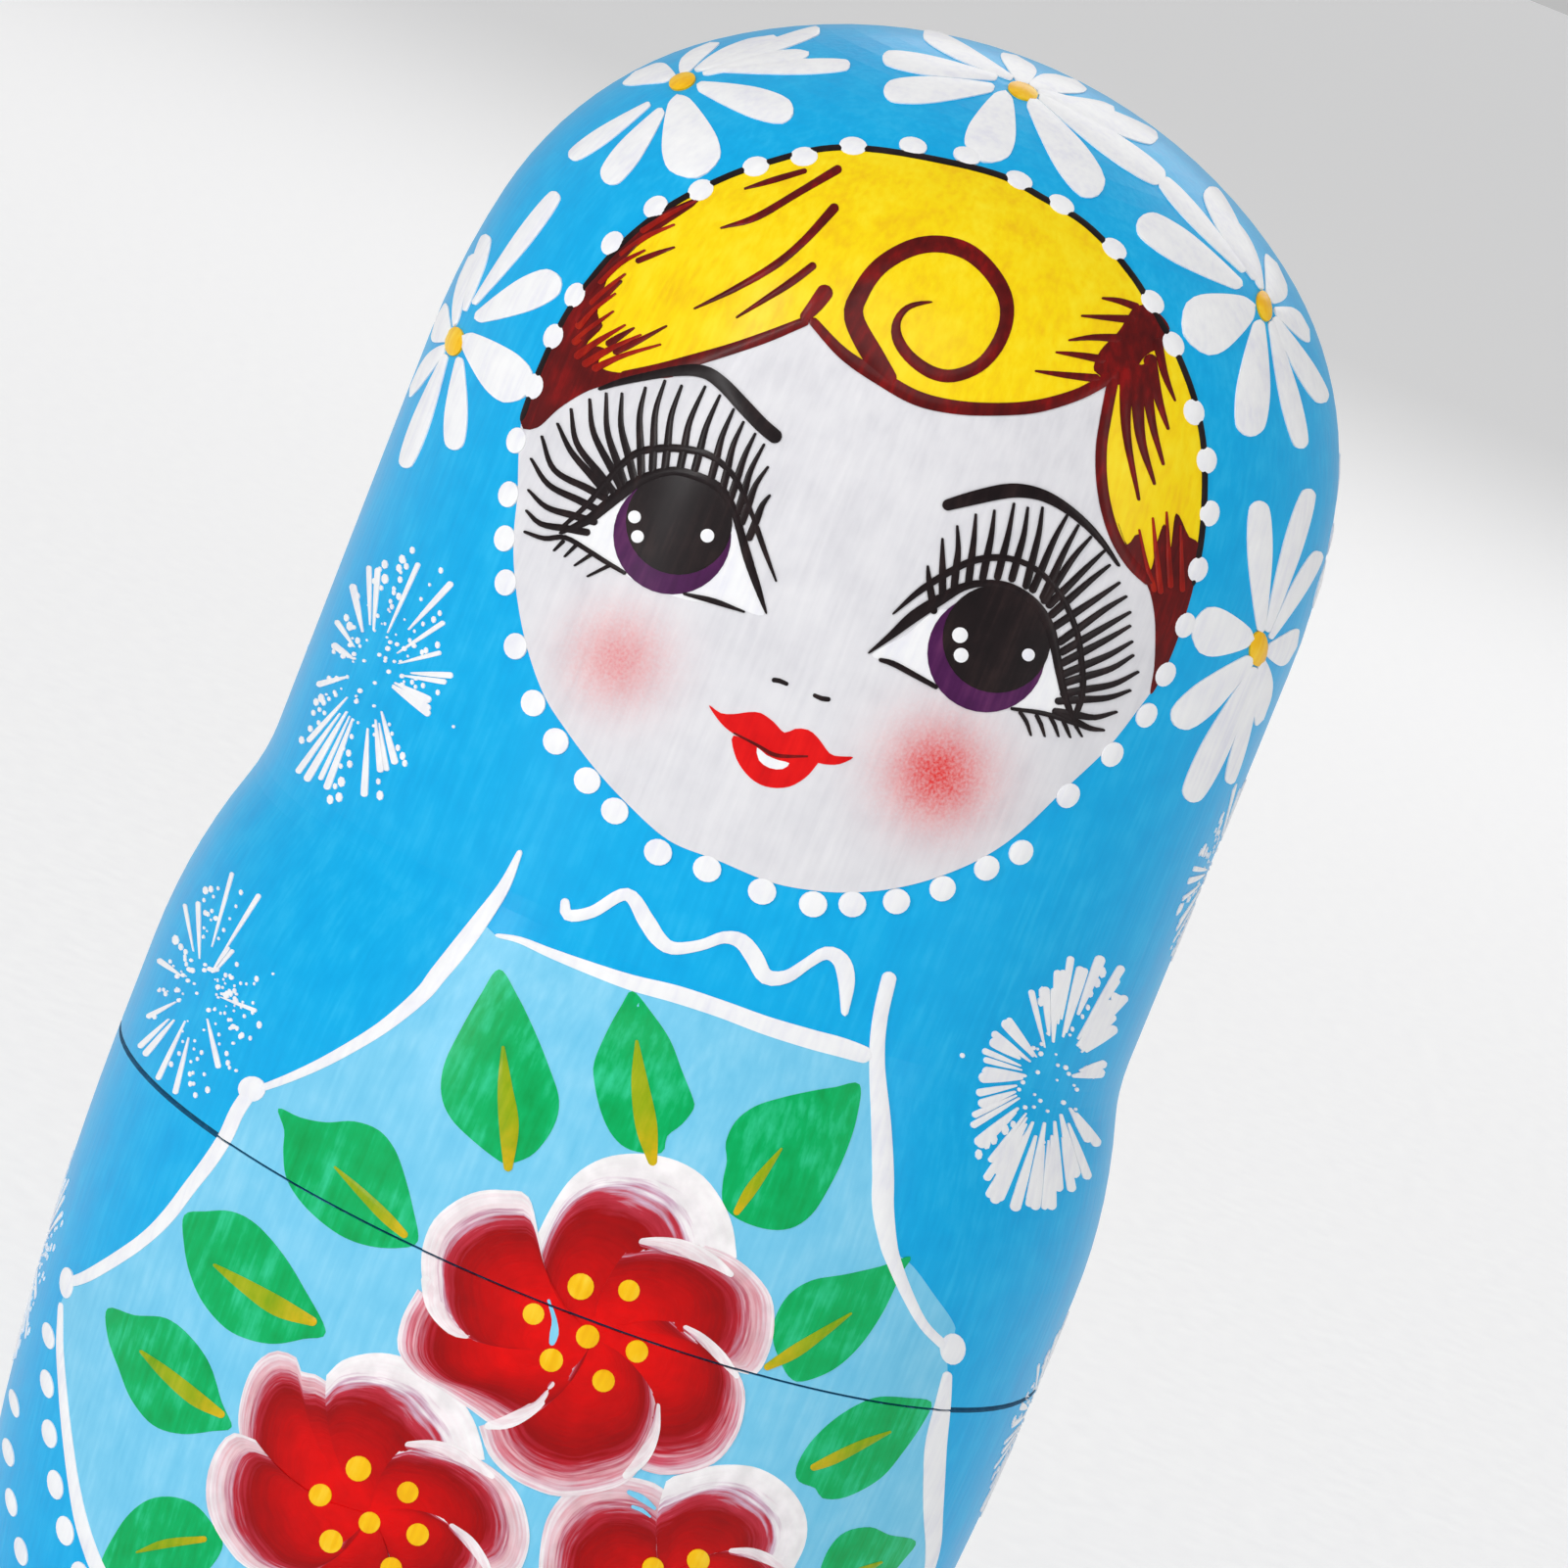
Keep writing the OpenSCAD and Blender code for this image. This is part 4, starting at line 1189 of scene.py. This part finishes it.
class Recipe:
    """A new material with short ways to add its nodes."""

    def __init__(self, name, roughness, coat):
        self.material = bpy.data.materials.new(name)
        self.material.use_nodes = True
        self.tree = self.material.node_tree
        self.shader = self.tree.nodes["Principled BSDF"].inputs
        self.shader["Roughness"].default_value = roughness
        self.shader["Specular IOR Level"].default_value = SPECULAR
        self.shader["Coat Weight"].default_value = coat
        self.shader["Coat Roughness"].default_value = COAT_ROUGHNESS
        self.place = self.add("ShaderNodeTexCoord").outputs["Object"]

    def add(self, kind, settings=None, **inputs):
        node = self.tree.nodes.new(kind)
        for name, value in (settings or {}).items():
            setattr(node, name, value)
        for name, value in inputs.items():
            self.join(value, node.inputs[name.replace("_", " ")])
        return node

    def join(self, value, socket):
        if isinstance(value, bpy.types.NodeSocket):
            self.tree.links.new(value, socket)
        else:
            socket.default_value = value

    def noise(self, scale, detail=3, place=None, stretch=(1, 1, 1)):
        mapped = self.add("ShaderNodeMapping", Vector=place or self.place, Scale=stretch)
        found = self.add("ShaderNodeTexNoise", Vector=mapped.outputs["Vector"], Scale=scale, Detail=detail)
        return found.outputs["Fac"]

    def mark(self, name):
        return self.add("ShaderNodeAttribute", {"attribute_name": name}).outputs["Fac"]

    def sum(self, operation, a, b):
        node = self.add("ShaderNodeMath", {"operation": operation})
        self.join(a, node.inputs[0])
        self.join(b, node.inputs[1])
        return node.outputs["Value"]

    def weigh(self, a, b, share):
        """Sum of two values, weighed by the share of the first."""
        return self.sum("ADD", self.sum("MULTIPLY", a, share), self.sum("MULTIPLY", b, 1 - share))

    def span(self, value, **limits):
        """Value carried from one range to another."""
        return self.add("ShaderNodeMapRange", Value=value, **limits).outputs["Result"]

    def ramp(self, share, *stops):
        node = self.add("ShaderNodeValToRGB", Fac=share)
        elements = node.color_ramp.elements
        while len(elements) < len(stops):
            elements.new(0.5)
        for element, (position, colour) in zip(elements, stops):
            element.position = position
            element.color = colour
        return node.outputs["Color"]

    def blend(self, share, a, b, kind="MIX"):
        node = self.add("ShaderNodeMix", {"data_type": "RGBA", "blend_type": kind})
        self.join(share, node.inputs["Factor"])
        self.join(a, node.inputs[MIX_FIRST])
        self.join(b, node.inputs[MIX_SECOND])
        return node.outputs[MIX_RESULT]

    def bump(self, height, strength, distance):
        node = self.add("ShaderNodeBump", Height=height, Strength=strength, Distance=distance)
        self.join(node.outputs["Normal"], self.shader["Normal"])

    def colour(self, value):
        self.join(value, self.shader["Base Color"])

    def over(self, share, value):
        """A second colour over the one that is set, by a share."""
        under = self.shader["Base Color"].links[0].from_socket
        self.colour(self.blend(share, under, value))

    def rough(self, share, low, high):
        self.join(self.span(share, To_Min=low, To_Max=high), self.shader["Roughness"])


# Lacquered paint: its coat and roughness, the scales of its grain and mottling, the grain's stretch along
# the axis and share in the colour, and the depth of its brush lines in metres
LACQUER = 0.15
PAINT_ROUGHNESS = 0.36
GRAIN_SCALE, MOTTLE_SCALE = 1400, 260
GRAIN_STRETCH = (1, 1, 0.08)
GRAIN_SHARE = 0.45
BRUSH_DEPTH = 0.0003


def brushed(name, dark, plain, light, roughness=PAINT_ROUGHNESS):
    """Lacquered paint: three tones mixed by fine grain and broad mottling, with a brushed surface."""
    recipe = Recipe(name, roughness, LACQUER)
    grain = recipe.noise(GRAIN_SCALE, 4, stretch=GRAIN_STRETCH)
    mottle = recipe.noise(MOTTLE_SCALE, 4)
    mixed = recipe.weigh(grain, mottle, GRAIN_SHARE)
    recipe.colour(recipe.ramp(mixed, (0.32, dark), (0.5, plain), (0.68, light)))
    recipe.rough(mottle, roughness - 0.06, roughness + 0.08)
    recipe.bump(grain, 0.12, BRUSH_DEPTH)
    return recipe


def scarf_paint():
    return brushed("scarf_paint", shade(0, 166, 228), shade(6, 174, 233), shade(34, 184, 238)).material


def apron_paint():
    return brushed("apron_paint", shade(110, 199, 236), shade(123, 206, 240), shade(140, 214, 244)).material


def white_paint():
    dark, plain, light = shade(234, 234, 242), shade(244, 244, 246), shade(250, 250, 250)
    return brushed("white_paint", dark, plain, light, roughness=0.4).material


def face_paint():
    """Pale face with red stippled over it where it blushes."""
    recipe = brushed("face_paint", shade(216, 215, 220), shade(225, 224, 228), shade(232, 231, 234))
    specks = recipe.noise(3200, 2)
    strength = recipe.sum("MULTIPLY", recipe.mark("blush"), recipe.sum("ADD", specks, 0.42))
    recipe.over(strength, shade(228, 62, 60))
    return recipe.material


def hair_paint():
    return brushed("hair_paint", shade(244, 196, 16), shade(251, 217, 8), shade(254, 228, 40)).material


def brown_paint():
    return brushed("brown_paint", shade(72, 8, 10), shade(96, 12, 12), shade(140, 14, 14)).material


def root_paint():
    return brushed("root_paint", shade(112, 14, 8), shade(150, 20, 8), shade(178, 40, 10)).material


def line_paint():
    return brushed("line_paint", shade(18, 10, 12), shade(26, 16, 18), shade(44, 30, 30)).material


def iris_paint():
    return brushed("iris_paint", shade(58, 14, 60), shade(74, 22, 76), shade(96, 40, 90)).material


def lip_paint():
    return brushed("lip_paint", shade(196, 6, 10), shade(222, 8, 12), shade(236, 20, 18)).material


def leaf_paint():
    return brushed("leaf_paint", shade(0, 158, 78), shade(0, 178, 98), shade(48, 204, 146)).material


def vein_paint():
    """Yellow green that gets streaks of orange towards the leaf's foot."""
    recipe = brushed("vein_paint", shade(110, 160, 10), shade(150, 172, 14), shade(176, 182, 30))
    tip = recipe.span(recipe.mark("along"), From_Min=0.55, From_Max=1.0)
    streak = recipe.sum("MULTIPLY", tip, recipe.noise(900, 3))
    recipe.over(streak, shade(252, 186, 24))
    return recipe.material


def yellow_paint():
    return brushed("yellow_paint", shade(240, 170, 8), shade(250, 194, 14), shade(255, 214, 60)).material


# Petals: the depth at which they are fully red, and how dense their streaks are inwards and along the rim
RED_DEPTH = 4.0
STREAKS_IN, STREAKS_ALONG = 6.0, 2.5


def petal_paint():
    """Red petals with a dry-brushed rim, white or pink by the petal's tone."""
    recipe = Recipe("petal_paint", PAINT_ROUGHNESS, LACQUER)
    depth, tone = recipe.mark("depth"), recipe.mark("tone")
    flow = recipe.add("ShaderNodeCombineXYZ", X=recipe.sum("MULTIPLY", depth, STREAKS_IN),
                      Y=recipe.sum("MULTIPLY", recipe.mark("along"), STREAKS_ALONG), Z=tone).outputs["Vector"]
    streaks = recipe.noise(1.6, 4, flow)
    mottle = recipe.noise(420, 4)
    wander = recipe.sum("SUBTRACT", streaks, 0.5)
    reach = recipe.sum("DIVIDE", recipe.sum("ADD", depth, wander), RED_DEPTH)
    white_rim = recipe.ramp(reach, (0.0, shade(255, 252, 252)), (0.15, shade(252, 246, 248)),
                            (0.2, shade(214, 178, 200)), (0.26, shade(196, 52, 70)), (0.36, shade(160, 2, 6)),
                            (0.6, shade(196, 0, 2)), (1.0, shade(230, 0, 0)))
    pink_rim = recipe.ramp(reach, (0.0, shade(250, 234, 238)), (0.06, shade(228, 172, 188)),
                           (0.13, shade(218, 96, 118)), (0.22, shade(190, 28, 44)), (0.36, shade(156, 2, 6)),
                           (0.6, shade(196, 0, 2)), (1.0, shade(230, 0, 0)))
    lines = recipe.sum("MULTIPLY", tone, recipe.sum("ADD", streaks, 0.5))
    colour = recipe.blend(lines, white_rim, pink_rim)
    specks = recipe.span(mottle, From_Min=0.35, From_Max=0.65, To_Min=0.86, To_Max=1.0)
    recipe.colour(recipe.blend(1.0, colour, specks, "MULTIPLY"))
    recipe.rough(mottle, 0.3, 0.44)
    recipe.bump(streaks, 0.15, BRUSH_DEPTH)
    return recipe.material


def seam_shadow():
    dark, plain, light = shade(14, 70, 104), shade(20, 84, 120), shade(30, 100, 138)
    return brushed("seam_shadow", dark, plain, light, roughness=0.6).material


# Bare wood: roughness, the grain's stretch along the axis and share in the colour, and the depth of its rings
WOOD_ROUGHNESS = 0.6
WOOD_STRETCH = (1, 1, 0.05)
WOOD_SHARE = 0.6
WOOD_DEPTH = 0.0002


def bare_wood():
    """Turned linden: pale, with fine grain along the axis and faint rings from the tool."""
    recipe = Recipe("bare_wood", WOOD_ROUGHNESS, 0)
    grain = recipe.noise(900, 5, stretch=WOOD_STRETCH)
    cloud = recipe.noise(60, 3)
    rings = recipe.add("ShaderNodeTexWave", {"bands_direction": "Z"}, Vector=recipe.place, Scale=420,
                       Distortion=1.5, Detail=2).outputs["Fac"]
    mixed = recipe.weigh(grain, cloud, WOOD_SHARE)
    recipe.colour(recipe.ramp(mixed, (0.3, shade(206, 172, 122)), (0.5, shade(226, 196, 148)),
                              (0.7, shade(238, 214, 172))))
    recipe.rough(grain, 0.52, 0.7)
    recipe.bump(recipe.sum("ADD", rings, grain), 0.2, WOOD_DEPTH)
    return recipe.material


PAINTS = {
    "apron": apron_paint(), "white": white_paint(), "face": face_paint(), "hair": hair_paint(),
    "brown": brown_paint(), "root": root_paint(), "line": line_paint(), "iris": iris_paint(),
    "lip": lip_paint(), "leaf": leaf_paint(), "vein": vein_paint(), "yellow": yellow_paint(),
    "petal": petal_paint()}
# Materials of a shell, and their places in its list
SHELL_PAINTS = (scarf_paint(), bare_wood(), seam_shadow())
SCARF, WOOD, SHADOW = 0, 1, 2
# The bevels of a seam: how near to it they are, and how far they look both out and up or down at least
BEVEL_BAND = 0.3 * MM
BEVEL_SLOPE = 0.4


def finish_shell(name, seam):
    """Scarf paint outside a shell, bare wood inside it and on its neck and base, a dark line in the seam."""
    mesh = NODES[name].data
    mesh.materials.clear()
    for material in SHELL_PAINTS:
        mesh.materials.append(material)
    lower = name.endswith("_bottom")
    for face in mesh.polygons:
        outside = shows(face)
        if lower:
            outside = outward(face) > LEAST_OUT and face.center.z < seam
        sloped = min(abs(face.normal.z), outward(face)) > BEVEL_SLOPE
        if sloped and abs(face.center.z - seam) < BEVEL_BAND:
            face.material_index = SHADOW
        else:
            face.material_index = SCARF if outside else WOOD


for number in range(1, COUNT + 1):
    for node in set(doll_nodes(number).values()):
        finish_shell(node, SEAM * SIZES[number] + BASES[number])

fine_coat = paint_all(FINE)
coarse_coat = paint_all(COARSE)
for number in range(1, COUNT + 1):
    coat = fine_coat if number == 1 else coarse_coat
    for (half, colour), parts in coat.parts.items():
        build(number, half, colour, parts, PAINTS[colour])


# Floor, light and camera. The floor's reach is in metres, and its glow is seen and lights nothing
FLOOR_REACH = 30
FLOOR_GLOW = 0.17
SKY_STRENGTH = 0.5
# Lamps: angle round the doll in degrees, distance, height, width and length in metres, and power in watts
LAMPS = {
    "front_lamp": (-10, 2.2, 1.6, 1.6, 1.2, 13), "left_lamp": (-42, 1.6, 0.5, 0.14, 1.2, 8.5),
    "right_lamp": (62, 1.6, 0.5, 0.4, 1.2, 3.5), "back_lamp": (172, 2.2, 1.6, 1.6, 1.2, 12)}
LAMP_AIM = Vector((0, 0, 0.12))
NEAREST_SEEN = 0.01


def make_floor():
    """Pale floor, with a glow for the camera's rays and for those that mirror or pass on to it."""
    corners = [(x * FLOOR_REACH, y * FLOOR_REACH, 0) for x, y in ((-1, -1), (1, -1), (1, 1), (-1, 1))]
    mesh = bpy.data.meshes.new("floor")
    mesh.from_pydata(corners, [], [(0, 1, 2, 3)])
    floor = bpy.data.objects.new("floor", mesh)
    recipe = Recipe("pale_floor", 0.7, 0)
    speckle = recipe.noise(220, 3)
    recipe.colour(recipe.ramp(speckle, (0.3, shade(246, 246, 247)), (0.7, shade(252, 252, 252))))
    rays = recipe.add("ShaderNodeLightPath").outputs
    seen = recipe.sum("ADD", recipe.sum("ADD", rays["Is Camera Ray"], rays["Is Glossy Ray"]),
                      rays["Is Transmission Ray"])
    recipe.join(shade(238, 238, 239), recipe.shader["Emission Color"])
    recipe.join(recipe.sum("MULTIPLY", seen, FLOOR_GLOW), recipe.shader["Emission Strength"])
    mesh.materials.append(recipe.material)
    bpy.context.scene.collection.objects.link(floor)


def make_lamp(name, degrees, distance, height, wide, tall, power):
    """Soft area lamp at an angle round the doll, aimed at its middle."""
    angle = math.radians(degrees)
    lamp = bpy.data.lights.new(name, "AREA")
    lamp.shape = "RECTANGLE"
    lamp.size = wide
    lamp.size_y = tall
    lamp.energy = power
    holder = bpy.data.objects.new(name, lamp)
    holder.location = (distance * math.sin(angle), -distance * math.cos(angle), height)
    holder.rotation_euler = (LAMP_AIM - holder.location).to_track_quat("-Z", "Y").to_euler()
    bpy.context.scene.collection.objects.link(holder)


def make_world():
    world = bpy.data.worlds.new("studio")
    world.use_nodes = True
    sky = world.node_tree.nodes["Background"].inputs
    sky["Color"].default_value = (1, 1, 1, 1)
    sky["Strength"].default_value = SKY_STRENGTH
    bpy.context.scene.world = world


def make_camera():
    camera = bpy.data.cameras.new("camera")
    camera.sensor_fit = "HORIZONTAL"
    camera.angle = 2 * math.atan(MIDDLE / FOCAL)
    camera.clip_start = NEAREST_SEEN
    holder = bpy.data.objects.new("camera", camera)
    turn = Matrix((camera_x, camera_y, -forward)).transposed().to_4x4()
    holder.matrix_world = Matrix.Translation(EYE) @ turn
    bpy.context.scene.collection.objects.link(holder)
    bpy.context.scene.camera = holder


make_floor()
make_world()
for name, lamp in LAMPS.items():
    make_lamp(name, *lamp)
make_camera()
bpy.context.scene.view_settings.view_transform = "Standard"
